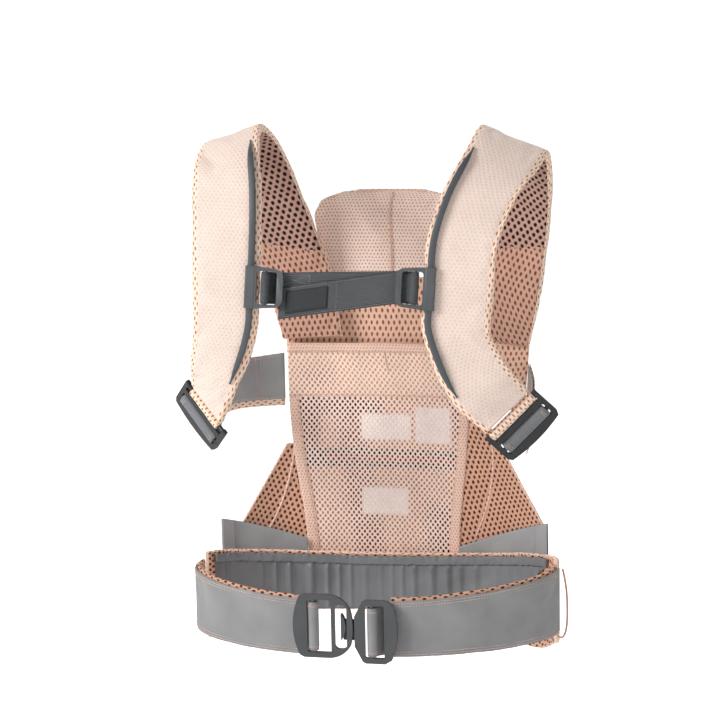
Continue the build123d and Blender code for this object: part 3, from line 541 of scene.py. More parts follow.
def flat_size(grid):
    """Mean width, mean length and area of a grid of shape (rows, columns, 3), in metres."""
    length = np.linalg.norm(np.diff(grid, axis=0), axis=2).sum(0).mean() * MM
    width = np.linalg.norm(np.diff(grid, axis=1), axis=2).sum(1).mean() * MM
    lower = np.cross(grid[1:, :-1] - grid[:-1, :-1], grid[:-1, 1:] - grid[:-1, :-1])
    upper = np.cross(grid[1:, :-1] - grid[1:, 1:], grid[:-1, 1:] - grid[1:, 1:])
    area = (np.linalg.norm(lower, axis=2).sum() + np.linalg.norm(upper, axis=2).sum()) / 2
    return width, length, min(area * MM ** 2, width * length)


def cloth_sheet(name, grid, thickness, material, body, slot, *nodes, held="stretched"):
    """A single sheet of cloth: made and tied to its body."""
    piece = ring_piece(name, sheet_rings(grid, thickness), [material], mirrored=True)
    finish_piece(piece, body, slot, *nodes)
    return piece


print("sheet helpers ready")

# %% [markdown]
# ## Stitches and seams
# A sewn line is a row of short threads that dive in and out of the cloth. Each thread is a small
# six-sided capsule of 24 quads, and one array of places and directions carries the capsule to
# every stitch at once. A seam's ridge is a thin round bead along the same kind of path.

# %% stitches and beads
def evenly(path, step):
    """Points every step millimetres along a path."""
    lengths = np.linalg.norm(np.diff(path, axis=0), axis=1)
    travelled = np.concatenate([[0], np.cumsum(lengths)])
    places = np.arange(step / 2, travelled[-1], step)
    return np.stack([np.interp(places, travelled, path[:, k]) for k in range(3)], axis=1)


def stitch_row(paths, outward, material, name, body, length=3.2, step=4.4, radius=0.38):
    """Threads along several paths. outward is the direction that the cloth faces at each point."""
    places, alongs, ups = [], [], []
    for path, face in zip(paths, outward):
        places.append(evenly(path, step))
        alongs.append(unit(np.gradient(places[-1], axis=0)))
        ups.append(evenly(path + face, step)[:len(places[-1])])
        short = len(ups[-1])
        places[-1] = places[-1][:short]
        alongs[-1] = alongs[-1][:short]
        ups[-1] = unit(ups[-1] - places[-1])
    place, along, up = (np.concatenate(part) for part in (places, alongs, ups))
    side = unit(np.cross(along, up))
    up = np.cross(side, along)
    reach = np.array([-0.5, -0.42, 0, 0.42, 0.5]) * length
    round_off = np.array([0.3, 0.8, 1, 0.8, 0.3]) * radius
    lift = np.array([-0.3, 0.3, 0.7, 0.3, -0.3]) * radius
    turn = np.radians(np.arange(6) * 60)
    points = (place[:, None, None] + along[:, None, None] * reach[:, None, None]
              + side[:, None, None] * (round_off[:, None] * np.cos(turn))[..., None]
              + up[:, None, None] * (round_off[:, None] * np.sin(turn) + lift[:, None])[..., None])
    index = np.arange(30).reshape(5, 6)
    after = np.roll(index, -1, axis=1)
    sides = np.stack([index[:-1], after[:-1], after[1:], index[1:]], -1).reshape(-1, 4)
    lids = np.array([[0, 3, 2, 1], [0, 5, 4, 3], [24, 25, 26, 27], [24, 27, 28, 29]])
    faces = (np.concatenate([sides, lids]) + 30 * np.arange(len(place))[:, None, None])
    faces = faces.reshape(-1, 4)
    points = points.reshape(-1, 3)
    uvs = points[faces][..., [2, 0]]
    row = mesh_object(name, points, faces, uvs, np.zeros(len(faces)), [material])
    return finish_piece(row, body, "strap_knit")


def bead(name, path, radius, material, body, slot, flat=1.0):
    """A round ridge along a path: a circle of eight points on every point of the path."""
    along = unit(np.gradient(path, axis=0))
    side = unit(np.cross(along, (0, -1.0, 0.05)))
    raised = np.cross(side, along)
    turn = np.radians(np.arange(8) * 45 + 22.5)
    size = np.full(len(path), radius)
    size[[0, -1]] *= 0.5
    rings = (path[:, None] + side[:, None] * (size[:, None] * np.cos(turn))[..., None]
             + raised[:, None] * (size[:, None] * flat * np.sin(turn))[..., None])
    return finish_piece(ring_piece(name, rings, [material]), body, slot)


print("stitch and bead helpers ready")

# %% [markdown]
# ## Padded shoulder straps
# Each strap is a foam core in a knitted cover, with an open spacer mesh against the wearer and a
# narrow mesh wall between the two. It runs from the side buckle up the back, over the shoulder
# and down the front. A strap is made as one padded band: its two edges and the way it faces are
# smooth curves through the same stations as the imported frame. The foam then pushes the cloth out
# in a short cloth simulation, with the seams held.

# %% strap stations
# inner edge, outer edge, outward direction, and how much of the foam's thickness is left
RAIL_LEAN = 0.06
RAIL_SLOPE = 0.07
SLIDE_HEIGHT = 408.0
RAIL_LOW = 364.0
RAIL_HIGH = 452.0
BACK_OUTWARD = (0, -1, RAIL_SLOPE)
COVER_TOP = 6.4
LINING_LOW = -7.2


def rail_stretch(edge_x, edge_y, side, low_width, high_width):
    """Five stations in line: the inner edge leans by RAIL_LEAN and RAIL_SLOPE for each millimetre
    of height above SLIDE_HEIGHT, and the width grows evenly."""
    stations = []
    for height in np.linspace(RAIL_LOW, RAIL_HIGH, 5):
        rise = height - SLIDE_HEIGHT
        share = (height - RAIL_LOW) / (RAIL_HIGH - RAIL_LOW)
        width = low_width + (high_width - low_width) * share
        inner = np.array([edge_x + RAIL_LEAN * rise, edge_y + RAIL_SLOPE * rise, height])
        across = np.array([side, 0, -side * RAIL_LEAN]) / math.hypot(1, RAIL_LEAN)
        stations.append((tuple(inner), tuple(inner + across * width), BACK_OUTWARD, 1.0))
    return stations


LEFT_EDGE = (-112.5, -108.0)
RIGHT_EDGE = (88.0, -108.0)
STRAPS = {
    "left": [
        ((-168, -98, 237), (-205, -84, 280), (-0.5, -0.85, 0.0), 0.9),
        ((-143, -106, 286), (-203, -101, 308), (-0.15, -1, 0.05), 1.0),
        ((-124, -109, 330), (-199, -104, 338), (-0.05, -1, 0), 1.0),
        *rail_stretch(*LEFT_EDGE, -1, 80, 85),
        ((-110, -92, 519), (-198, -85, 522), (0, -1, 0.35), 1.0),
        ((-120, -59, 569), (-200, -58, 553), (-0.1, -0.75, 0.65), 1.0),
        ((-129, -8, 592), (-199, -12, 569), (-0.3, -0.05, 1), 1.0),
        ((-122, 38, 572), (-198, 30, 549), (-0.2, 0.65, 0.75), 1.0),
        ((-108, 68, 524), (-194, 60, 505), (0, 0.93, 0.35), 1.0),
        ((-90, 87, 464), (-178, 82, 450), (0, 1, 0.28), 1.0),
        ((-72, 98, 405), (-160, 95, 392), (0, 1, 0.15), 0.8),
        ((-58, 103, 314), (-138, 102, 309), (0, 1, 0.05), 0.5),
    ],
    "right": [
        ((158, -95, 231), (209, -86, 283), (0.35, -0.92, 0.0), 0.9),
        ((119, -105, 273), (188, -102, 314), (0.1, -1, 0.0), 1.0),
        ((96, -109, 321), (173, -105, 340), (0.05, -1, 0.0), 1.0),
        *rail_stretch(*RIGHT_EDGE, 1, 82, 84),
        ((107, -92, 514), (196, -81, 511), (0, -1, 0.35), 1.0),
        ((128, -64, 559), (216, -52, 541), (0.15, -0.75, 0.65), 1.0),
        ((141, -8, 589), (225, -14, 556), (0.4, -0.05, 1), 1.0),
        ((140, 40, 566), (224, 24, 522), (0.3, 0.65, 0.7), 1.0),
        ((132, 68, 520), (220, 52, 478), (0.15, 0.93, 0.3), 1.0),
        ((120, 88, 460), (212, 72, 425), (0.15, 1, 0.2), 1.0),
        ((106, 98, 400), (201, 83, 365), (0.15, 1, 0.1), 0.8),
        ((98, 103, 318), (187, 90, 304), (0.1, 1, 0.05), 0.5),
    ],
}
print("strap stations:", {side: len(stations) for side, stations in STRAPS.items()})


# %% [markdown]
# ## A padded band's section
# Across its width a strap is a rounded rectangle: two flats, four corners and two walls. A Bevel
# on a box could give that, but the section has to follow the strap's width and thickness. So one
# table holds the section as shares, and every row of the band scales the table.

# %% padded band
class Band:
    """A band's smooth frame at each row: centre, across, outward, half width and fullness."""

    def __init__(self, stations, rows, first=0.0, last=1.0):
        start, end, outward = (np.array([s[k] for s in stations], float) for k in range(3))
        full = np.array([s[3] for s in stations], float)
        table = np.concatenate([start, end, outward, full[:, None]], axis=1)
        curve_points = smooth(table, rows, spacing=(start + end) / 2, first=first, last=last)
        start, end, outward = (curve_points[:, k:k + 3] for k in (0, 3, 6))
        self.full = curve_points[:, 9]
        self.centre = (start + end) / 2
        self.across = unit(end - start)
        self.out = unit(outward - self.across * np.sum(outward * self.across, 1)[:, None])
        self.half = np.linalg.norm(end - start, axis=1) / 2

    def at(self, from_start, height):
        """The line at a distance from the start edge and a height, in millimetres, on each row."""
        return (self.centre + self.across * (np.asarray(from_start) - self.half)[:, None]
                + self.out * (np.asarray(height) * self.full)[:, None])


def section_table(across_count, wall_count):
    """Half a rounded rectangle as (side, corner cosine, level, corner sine), right to left.

    The point's place is side * (half width - radius) + radius * cosine across, and
    level * (half thickness - radius) + radius * sine outwards. A level of 1 with a sine of 1 is
    the flat, and a cosine of 1 with a sine of 0 is the wall.
    """
    wall = np.linspace(0, 1, wall_count + 1)[:-1] + 0.5 / wall_count
    corner = np.radians([0, 30, 60])
    flat = np.linspace(1, -1, across_count)
    right = [(1, 1, level, 0) for level in wall] + [(1, math.cos(a), 1, math.sin(a))
                                                    for a in corner]
    top = [(side, 0, 1, 1) for side in flat]
    left = [(-side, -c, level, s) for side, c, level, s in right[::-1]]
    return np.array(right + top + left), len(right)


def padded_rings(band, low, high, radius, crown, across_count=19, wall_count=2):
    """Rings of a padded band between two heights, rounded at its edges, crowned by a parabola."""
    table, edge = section_table(across_count, wall_count)
    full = np.concatenate([table, table[::-1] * (1, 1, -1, -1)])
    half_thick = (high - low) / 2 * band.full
    middle = (high + low) / 2 * band.full
    round_off = np.minimum(radius, half_thick * 0.95)
    inside = np.sign(full[:, 3]) * np.clip(1 - full[:, 0] ** 2, 0, 1)
    width = full[:, 0] * (band.half - round_off)[:, None] + full[:, 1] * round_off[:, None]
    height = (middle[:, None] + full[:, 2] * (half_thick - round_off)[:, None]
              + full[:, 3] * round_off[:, None] + crown * inside * band.full[:, None])
    rings = (band.centre[:, None] + band.across[:, None] * width[..., None]
             + band.out[:, None] * height[..., None])
    return rings, edge


def band_zones(rows, count, edge, margin):
    """0 on the outer face, 1 on the walls and margin, 2 on the inner face, for each segment."""
    half = count // 2
    zones = np.ones(count, int)
    zones[edge + margin:half - edge - 1 - margin] = 0
    zones[half + edge - 1:count - edge] = 2
    return np.repeat(zones[None], rows - 1, axis=0)


print("band helpers ready")

# %% [markdown]
# ## The two straps
# Cover, mesh walls and lining are sewn edge to edge, so one closed shell carries them all, and
# each face takes its cloth by where it lies on the section. On the front half the lining changes
# to a second mesh below a cross seam, whose height drops away from the outer edge.

# %% straps
STRAP_ROWS = 190
STRAP_FOAM_LOSS = 0.7
SEAM_TOP = {"left": 455.0, "right": 440.0}
SEAM_DROP = {"left": 26.0, "right": 4.0}
strap_bands = {}
straps = {}
for side, stations in STRAPS.items():
    band = Band(stations, STRAP_ROWS)
    rings, edge = padded_rings(band, LINING_LOW + STRAP_FOAM_LOSS, COVER_TOP - STRAP_FOAM_LOSS,
                               3.6, 0.6, across_count=23)
    zones = band_zones(STRAP_ROWS, rings.shape[1], edge, 1)
    across_inner = (np.arange(rings.shape[1]) - 0.75 * rings.shape[1]) / (0.25 * rings.shape[1])
    towards_edge = np.clip(0.5 + 0.5 * across_inner, 0, 1) ** 2
    seam_height = SEAM_TOP[side] - SEAM_DROP[side] * (1 - towards_edge)
    below = (rings[:-1, :, 2] < seam_height) & (rings[:-1, :, 1] > 0)
    zones = np.where(below & (zones == 2), 3, zones)
    straps[side] = ring_piece(f"shoulder_strap_{side}", rings,
                              [COVER_KNIT, EDGE_MESH, LINING_MESH, LOWER_MESH], zones)
    strap_bands[side] = band
    strap_shape = rings.shape
print("strap points:", strap_shape[0] * strap_shape[1])

# %% [markdown]
# ## Cloth simulation for the padding
# Foam in a sewn cover swells between its seams and puckers along them. Blender's Cloth does both
# on the closed shell: a little pressure inside, a little spare cloth, and the seams pinned. All
# the padded pieces are simulated in the same sixteen steps, which is quicker than one by one. How
# far a point may move is capped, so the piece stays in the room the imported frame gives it.

# %% simulate padding
SIM_STEPS = 16


def face_seams(count, edge):
    """The four columns of a ring that lie edge columns in from the sides of its two faces."""
    return [edge, count // 2 - edge - 1, count // 2 + edge, count - edge - 1]


def seam_pins(piece, count, rows, pinned_columns):
    """Pins whole columns of the ring grid, and the two rows at each end."""
    index = np.arange(rows * count).reshape(rows, count)
    group = piece.vertex_groups.new(name="seams")
    held = np.unique([*index[:, pinned_columns].ravel(), *index[[0, 1, -2, -1]].ravel()])
    group.add(held.tolist(), 1.0, "REPLACE")


def start_cloth(piece, pressure, spare):
    """Adds Cloth with inside pressure and a share of spare cloth."""
    cloth = piece.modifiers.new("padding", "CLOTH")
    settings = cloth.settings
    settings.quality = 4
    settings.mass = 0.3
    settings.tension_stiffness = 12
    settings.compression_stiffness = 8
    settings.shear_stiffness = 4
    settings.bending_stiffness = 0.12
    settings.use_pressure = True
    settings.uniform_pressure_force = pressure
    settings.shrink_min = -spare
    settings.vertex_group_mass = "seams"
    settings.effector_weights.gravity = 0
    cloth.point_cache.frame_start = 1
    cloth.point_cache.frame_end = SIM_STEPS + 1


def simulate(limits):
    """Steps every cloth together, then keeps each point's move, capped at the piece's limit."""
    scene = bpy.context.scene
    for step in range(1, SIM_STEPS + 1):
        scene.frame_set(step)
    graph = bpy.context.evaluated_depsgraph_get()
    for piece, limit in limits.items():
        before = np.zeros(len(piece.data.vertices) * 3)
        after = before.copy()
        piece.data.vertices.foreach_get("co", before)
        piece.evaluated_get(graph).data.vertices.foreach_get("co", after)
        move = (after - before).reshape(-1, 3)
        size = np.maximum(np.linalg.norm(move, axis=1, keepdims=True), 1e-9)
        move *= np.minimum(size, limit * MM) / size
        print(piece.name, "moved by up to", round(float(size.max()) / MM, 1), "mm")
        piece.modifiers.remove(piece.modifiers["padding"])
        piece.data.vertices.foreach_set("co", before + move.reshape(-1))
        piece.data.update()
    scene.frame_set(1)


print("simulation helpers ready")

# %% pin the straps
SEAM_EDGE = 5
STRAP_MOVE = 1.6
padding_limits = {}
for piece in straps.values():
    rows, count, _ = strap_shape
    seam_pins(piece, count, rows, face_seams(count, SEAM_EDGE))
    padding_limits[piece] = STRAP_MOVE

# %% [markdown]
# ## Waist ring
# The belt is an ellipse in plan. Its near part is grey coated cloth over foam, left and right of
# the buckle. Its far part is a mesh hip pad with a gathered grey lining inside. Every layer is a
# padded band whose stations stand on the same ellipse, set in square to its outline.

# %% ring helper
RING_HALF_WIDTH = 235.0
RING_HALF_DEPTH = 113.0


def ring_stations(first, last, inset, bottom, top, count=24):
    """Stations on the ellipse between two angles: x = 235 cos, y = 113 sin, moved in by inset."""
    angle = np.radians(np.linspace(first, last, count))
    x = RING_HALF_WIDTH * np.cos(angle)
    y = RING_HALF_DEPTH * np.sin(angle)
    outward = unit(np.stack([np.cos(angle) / RING_HALF_WIDTH, np.sin(angle) / RING_HALF_DEPTH,
                             0 * angle], axis=1))
    foot = np.stack([x, y, bottom(x)], axis=1) - outward * inset
    head = np.stack([x, y, top(x)], axis=1) - outward * inset
    return [(a, b, c, 1.0) for a, b, c in zip(foot, head, outward)]


def near_top(x):
    """The near belt's upper edge: a shallow parabola that leans up to the wearer's right."""
    return 21.5 + 0.00028 * x * x + 0.025 * x


def near_bottom(x):
    """The near belt's lower edge."""
    return -48.5 + 0.00007 * x * x + 0.02 * x


def far_top(x):
    """The far belt's upper edge."""
    return 21.0 + 0.0004 * x * x + 0.02 * x


def far_bottom(x):
    """The hip pad's lower edge: level, with two rounded drops at the sides."""
    right_drop = 26 * np.clip(1 - ((x - 195) / 42) ** 2, 0, None)
    left_drop = 20 * np.clip(1 - ((x + 225) / 28) ** 2, 0, None)
    return -56.0 - right_drop - left_drop


# %% [markdown]
# ## Near belt
# Left and right of the buckle the belt is a flat woven cover, with a mesh lining behind it that
# stands a few millimetres higher. Both are padded bands on the ring's stations. A slow wave is
# added to the cover, because cloth over foam never lies quite even.

# %% near belt
BELT_ROWS = 84
BELT_SPANS = {"left": (175, 255), "right": (280, 360)}
belt_bands = {}
belts = {}
belt_linings = {}
for side, span in BELT_SPANS.items():
    band = Band(ring_stations(*span, 0.0, near_bottom, near_top), BELT_ROWS)
    rings, _ = padded_rings(band, -2.2, 0.2, 1.1, 0.0, across_count=27, wall_count=1)
    folds = (0.7 * np.sin(np.linspace(0, 5.0, BELT_ROWS)) ** 3
             * np.sin(np.linspace(0, 9, BELT_ROWS) + 1))
    rings += band.out[:, None] * folds[:, None, None] * 0.5
    belts[side] = ring_piece(f"belt_cover_{side}", rings, [BELT_WEAVE])
    belt_bands[side] = band
    belt_shape = rings.shape
    lining = Band(ring_stations(*span, 2.8, near_bottom, lambda x: near_top(x) + 3.5), BELT_ROWS)
    rings, _ = padded_rings(lining, -5.6, -0.3, 2.4, 0.0, across_count=15, wall_count=2)
    belt_linings[side] = ring_piece(f"belt_lining_mesh_{side}", rings, [GUSSET_MESH])
    lining_shape = rings.shape
for side in BELT_SPANS:
    rows, count, _ = belt_shape
    seam_pins(belts[side], count, rows, face_seams(count, SEAM_EDGE - 1))
    padding_limits[belts[side]] = 1.1
    rows, count, _ = lining_shape
    seam_pins(belt_linings[side], count, rows, face_seams(count, SEAM_EDGE))
    padding_limits[belt_linings[side]] = 1.0
print("belt points:", belt_shape[0] * belt_shape[1])

# %% [markdown]
# ## Hip pad
# The hip pad is the thickest foam in the ring. Its lower edge drops in two rounded lobes, which
# are parabolas cut off at zero. Its faces are coarse mesh, and its walls a finer edge mesh.

# %% hip pad
HIP_ROWS = 130
hip_band = Band(ring_stations(5, 170, 0.0, far_bottom, lambda x: far_top(x) + 3.5, count=40),
                HIP_ROWS)
rings, edge = padded_rings(hip_band, -8.6, -0.4, 3.2, 0.3, across_count=17)
hip_pad = ring_piece("hip_pad_mesh", rings, [GUSSET_MESH, EDGE_MESH],
                     np.minimum(band_zones(HIP_ROWS, rings.shape[1], edge, 0) % 2, 1))
seam_pins(hip_pad, rings.shape[1], HIP_ROWS, face_seams(rings.shape[1], SEAM_EDGE))
padding_limits[hip_pad] = 1.2

# %% [markdown]
# ## Head support
# The head support is a padded flap above the panel, folded up behind the baby's head. Its knit
# has pin holes. It stands on its hinge line, so it is a sheet whose five levels give its height,
# its two edges and how deep its edges and middle lie.

# %% level sheets
def level_grid(levels, rows, columns):
    """Grid from levels of (height, left, right, edge depth, middle depth).

    Across a level the place runs evenly from left to right, and the depth is a parabola from the
    edge depth to the middle depth. Levels are joined by smooth curves.
    """
    table = smooth(levels, rows, spacing=np.array(levels)[:, :1])
    part = np.linspace(0, 1, columns)
    x = table[:, [1]] + (table[:, [2]] - table[:, [1]]) * part
    y = table[:, [3]] + (table[:, [4]] - table[:, [3]]) * (1 - (2 * part - 1) ** 2)
    z = np.repeat(table[:, [0]], columns, axis=1)
    return np.stack([x, y, z], axis=-1)


HEAD_LEVELS = [
    (396, -84, 84, 112, 117), (423, -88, 87, 112.5, 118), (450, -92, 88, 113, 119),
    (480, -91, 87, 115, 122), (494, -76, 79, 117.5, 124), (500, -52, 62, 119, 124.5),
    (503, -24, 40, 121, 124.8),
]
HEAD_PAD = 3.2
head_grid = level_grid(HEAD_LEVELS, 46, 70)
head_grid[..., 1] += HEAD_PAD / 2 + 0.3
ripple = np.sin(head_grid[..., 0] / 11 + head_grid[..., 2] / 60)
head_grid[..., 1] += 0.6 * ripple * np.clip((head_grid[..., 2] - 400) / 60, 0, 1)
head_support = ring_piece("head_support_mesh", sheet_rings(head_grid, HEAD_PAD), [HEAD_MESH],
                          mirrored=True)
seam_pins(head_support, 140, 46, [0, 1, 48, 49, 68, 69, 70, 71, 90, 91, 138, 139])
padding_limits[head_support] = 1.2

# %% [markdown]
# ## Running the simulation
# Each kind of piece has its own pressure and spare cloth, by how firm its foam is. Then the
# pieces are tied to the frame's bodies, and all but the head support, whose grid is fine
# enough, are made finer by one level of subdivision.

# %% run the simulation
PRESSURES = {"shoulder": (3.0, 0.012), "belt_cover": (1.0, 0.006), "belt_lining": (1.5, 0.02),
             "hip": (2.0, 0.02), "head": (1.5, 0.02)}
for piece in padding_limits:
    pressure, spare = next(value for key, value in PRESSURES.items() if key in piece.name)
    start_cloth(piece, pressure, spare)
simulate(padding_limits)

# %% tie the padded pieces to the frame
for side, piece in straps.items():
    finish_piece(piece, "carrier", "strap_knit", f"shoulder_pad_{side}", f"shoulder_cover_{side}",
                 f"shoulder_lining_{side}", level=1)
    finish_piece(belts[side], "carrier", "belt_fabric", f"waist_belt_{side}", level=1)
    finish_piece(belt_linings[side], "carrier", "spacer_mesh", f"belt_lining_{side}", level=1)
finish_piece(hip_pad, "carrier", "spacer_mesh", "hip_pad", level=1)
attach(head_support, "headrest")
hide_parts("head_support")
print("padded pieces:", len(padding_limits))

# %% [markdown]
# ## Belt stitching
# Two rows of pink thread run near both edges of the near belt, and the lines stop at the buckle.

# %% belt stitches
BELT_LINES = (3.4, 6.6)
for side, band in belt_bands.items():
    high = [band.at(2 * band.half - inset, 0.75 + 0 * band.half)[2:-2] for inset in BELT_LINES]
    low = [band.at(inset + 0 * band.half, 0.75 + 0 * band.half)[2:-2] for inset in BELT_LINES]
    stitch_row(high + low, [band.out[2:-2]] * 4, PINK_THREAD, f"belt_stitching_{side}", "carrier",
               length=2.6, step=3.5, radius=0.36)
print("belt stitched")

# %% [markdown]
# ## Gathered lining
# Thin grey cloth hangs inside the ring from an elastic hem. The hem is shorter than the cloth, so
# the cloth falls in folds that start sharp at the hem and fade below. A fold is the positive part
# of a slow wave raised to a power, its spacing varied by a second wave.

# %% gathered lining
GATHER_INSET = 9.4
HEM_HEIGHT = 12.0
HEM_DEPTH = 6.0
LINED_SPAN = (15, 165)


def gather_wave(travelled):
    """Height of the folds from 0 to 1: the wave's phase is stretched by two slower sines."""
    phase = travelled / 3.1 + 2.2 * np.sin(travelled / 41) + 1.2 * np.sin(travelled / 13 + 1)
    strong = 0.6 + 0.4 * np.sin(travelled / 29 + 2)
    return (0.5 + 0.5 * np.sin(phase)) ** 4.5 * strong


LINING_ROWS = 520
lining_band = Band(ring_stations(*LINED_SPAN, GATHER_INSET, lambda x: -52 + 0 * x,
                                 lambda x: far_top(x) - HEM_HEIGHT + 1, count=40), LINING_ROWS)
travelled = np.concatenate([[0], np.cumsum(np.linalg.norm(
    np.diff(lining_band.centre, axis=0), axis=1))])
down = np.linspace(0, 1, 26)
folds = gather_wave(travelled)[:, None] * (0.3 + 0.7 * (1 - down) ** 1.1) * np.minimum(
    1, 0.35 + down * 8)
billow = 1.0 * np.sin(travelled / 55 + 0.6)[:, None] * down
depth = -(0.9 + 7.5 * folds + np.abs(billow))
lining_grid = np.stack([lining_band.at(2 * lining_band.half * (1 - part), depth[:, k])
                        for k, part in enumerate(down)], axis=1)
# the lining's right end is cut at a slant, from high at the ring's end to low further in
cut_rows = np.linspace(0.01 + 0.17 * down ** 0.8, 1, LINING_ROWS)
lining_grid = on_grid(lining_grid, cut_rows, np.broadcast_to(down, cut_rows.shape))
cloth_sheet("gathered_lining_cloth", lining_grid, 0.7, LINING_WEAVE, "carrier", "lining_fabric",
            "gathered_lining", held="gathered")

# %% [markdown]
# The hem is a tube of the same cloth with the elastic inside. Pulled short, it puckers: small
# lobes all round the tube, deeper on its lower side where a stitch line draws it in.

# %% elastic hem
HEM_ROWS = 620
hem_band = Band(ring_stations(*LINED_SPAN, GATHER_INSET, lambda x: far_top(x) - HEM_HEIGHT,
                              far_top, count=40), HEM_ROWS)
travelled = np.linspace(0, travelled[-1], HEM_ROWS)
turn = np.linspace(0, 2 * math.pi, 24, endpoint=False) + math.pi / 24
pucker = (0.6 * np.sin(travelled / 1.6 + 2.4 * np.sin(travelled / 23))[:, None]
          * np.cos(turn + 0.5 * np.sin(travelled / 9)[:, None]) ** 2
          + 0.5 * np.sin(travelled / 3.4 + 1.3 * np.sin(travelled / 13))[:, None]
          * np.sin(turn + travelled[:, None] / 31))
reach = np.sign(np.cos(turn)) * np.abs(np.cos(turn)) ** 0.75 * (HEM_HEIGHT / 2 - 0.2)
rise = np.sign(np.sin(turn)) * np.abs(np.sin(turn)) ** 0.8 * (HEM_DEPTH / 2 - 0.5)
reach = reach + 0.9 * pucker
rise = rise * (1 + 0.45 * pucker)
rings = (hem_band.centre[:, None] + hem_band.across[:, None] * reach[..., None]
         + hem_band.out[:, None] * (rise - HEM_DEPTH / 2)[..., None])
hem = ring_piece("gathered_hem", rings, [LINING_WEAVE])
finish_piece(hem, "carrier", "lining_fabric", "hem_casing", "waist_elastic")
print("hem points:", HEM_ROWS * 24)

# %% [markdown]
# ## Rails
# A rubbery rail is sewn along the inner edge of each strap: a thin web with a flat head that the
# slider grips. The head is made as a padded band along the strap's own frame, eight millimetres
# wide where the slider runs, and drawn in to a narrow tongue at both ends.

# %% rails
RAIL_INSET = 9.0
RAIL_STATIONS = [1, 9]
RAIL_PAST = 0.014
RAIL_ROWS = 150
RAIL_TIP = 20
RAIL_HALF = 4.0
RAIL_TOP = 13.1
RAIL_UNDERSIDE = 8.7
TIP_SINK = 4.5
for side, stations in STRAPS.items():
    middles = np.array([np.add(start, end) / 2 for start, end, *_ in stations])
    lengths = np.cumsum(np.linalg.norm(np.diff(middles, axis=0), axis=1))
    first, last = np.concatenate([[0], lengths])[RAIL_STATIONS] / lengths[-1]
    band = Band(stations, RAIL_ROWS, first, last + RAIL_PAST)
    ends = np.minimum(np.arange(RAIL_ROWS), np.arange(RAIL_ROWS)[::-1]) / RAIL_TIP
    tongue = np.sin(np.clip(ends, 0.02, 1) * math.pi / 2) ** 0.8
    rail_band = Band(stations, RAIL_ROWS, first, last + RAIL_PAST)
    rail_band.centre = band.at(RAIL_INSET + 0 * band.half, 0)
    rail_band.half = RAIL_HALF * np.maximum(tongue, 0.14)
    rings, _ = padded_rings(rail_band, RAIL_UNDERSIDE, RAIL_TOP, 1.5, 0.25, across_count=7,
                            wall_count=1)
    sink = (1 - tongue) * TIP_SINK
    rings = rings - band.out[:, None] * sink[:, None, None]
    head = ring_piece(f"rail_head_{side}", rings, [RAIL_RUBBER])
    finish_piece(head, "carrier", "rail_tape", f"rail_{side}")
    rail_band.half = np.full(RAIL_ROWS, 1.0)
    web_rings, _ = padded_rings(rail_band, 5.2, 8.9, 0.4, 0.0, across_count=3, wall_count=1)
    web = ring_piece(f"rail_web_{side}", web_rings[RAIL_TIP:-RAIL_TIP], [RAIL_RUBBER])
    finish_piece(web, "carrier", "rail_tape")
print("rails made")

# %% [markdown]
# ## Back strap
# One ribbed webbing joins the two sliders. It is sewn round the left slider's bar, crosses
# behind the frames, goes round the right bar and comes back on top, where its free end hangs a
# little lower. Its path is drawn in the plane across the bars and then given the webbing's width.

# %% back strap path
WEBBING = 38.0
WEBBING_THICK = 1.5
FRAME_LEVEL = 12.2
SLIDER_BAR = 18.5
SLIDE_DIRECTION = unit(np.array([RAIL_LEAN, RAIL_SLOPE, 1.0]))


def slider_bar(edge, side):
    """The bar's middle, the direction to the other strap, and outward."""
    towards = unit(np.array([-side, 0, side * RAIL_LEAN]))
    outward = np.array(BACK_OUTWARD, float)
    outward = unit(outward - towards * outward.dot(towards))
    start = np.array([*edge, SLIDE_HEIGHT])
    return start + towards * (SLIDER_BAR - RAIL_INSET) + outward * FRAME_LEVEL, towards, outward


left_bar, left_towards, strap_out = slider_bar(LEFT_EDGE, -1)
right_bar, right_towards, _ = slider_bar(RIGHT_EDGE, 1)


def around_bar(bar, towards, first, last, radius, count):
    """An arc about a bar: angles in degrees from towards, turning outward."""
    angle = np.radians(np.linspace(first, last, count))[:, None]
    return bar + radius * (towards * np.cos(angle) + strap_out * np.sin(angle))


def straight(start, end, count):
    """Points in line, without the two ends."""
    return start + (end - start) * np.linspace(0, 1, count + 2)[1:-1, None]


# how far from the bars the webbing is straight, how deep its two layers lie, and its turn
CLEAR_OF_BAR = 15.0
FREE_END_CLEAR = 17.0
INNER_DEPTH = 7.3
OUTER_DEPTH = 4.6
FREE_END_DROP = 18.0
BAR_TURN = 4.4
UNDER_BAR_DEPTH = 6.8
inner_left = left_bar + left_towards * CLEAR_OF_BAR - strap_out * INNER_DEPTH
inner_right = right_bar + right_towards * CLEAR_OF_BAR - strap_out * INNER_DEPTH
outer_right = right_bar + right_towards * CLEAR_OF_BAR - strap_out * OUTER_DEPTH
outer_left = left_bar + left_towards * FREE_END_CLEAR - strap_out * OUTER_DEPTH
under_left = left_bar + left_towards * 3 - strap_out * UNDER_BAR_DEPTH
under_right = right_bar + right_towards * 3 - strap_out * UNDER_BAR_DEPTH
strap_path = np.concatenate([
    (left_bar + left_towards * 12 - strap_out * 5.2)[None],
    around_bar(left_bar, left_towards, -20, 255, BAR_TURN, 22),
    straight(under_left, inner_left, 3), inner_left[None],
    straight(inner_left, inner_right, 40), inner_right[None],
    straight(inner_right, under_right, 3),
    around_bar(right_bar, right_towards, 255, -10, BAR_TURN, 22),
    straight(right_bar + right_towards * 8 - strap_out * 3.0, outer_right, 2), outer_right[None],
    straight(outer_right, outer_left, 44), outer_left[None],
])
OUTER_POINTS = 46
lower = np.zeros(len(strap_path))
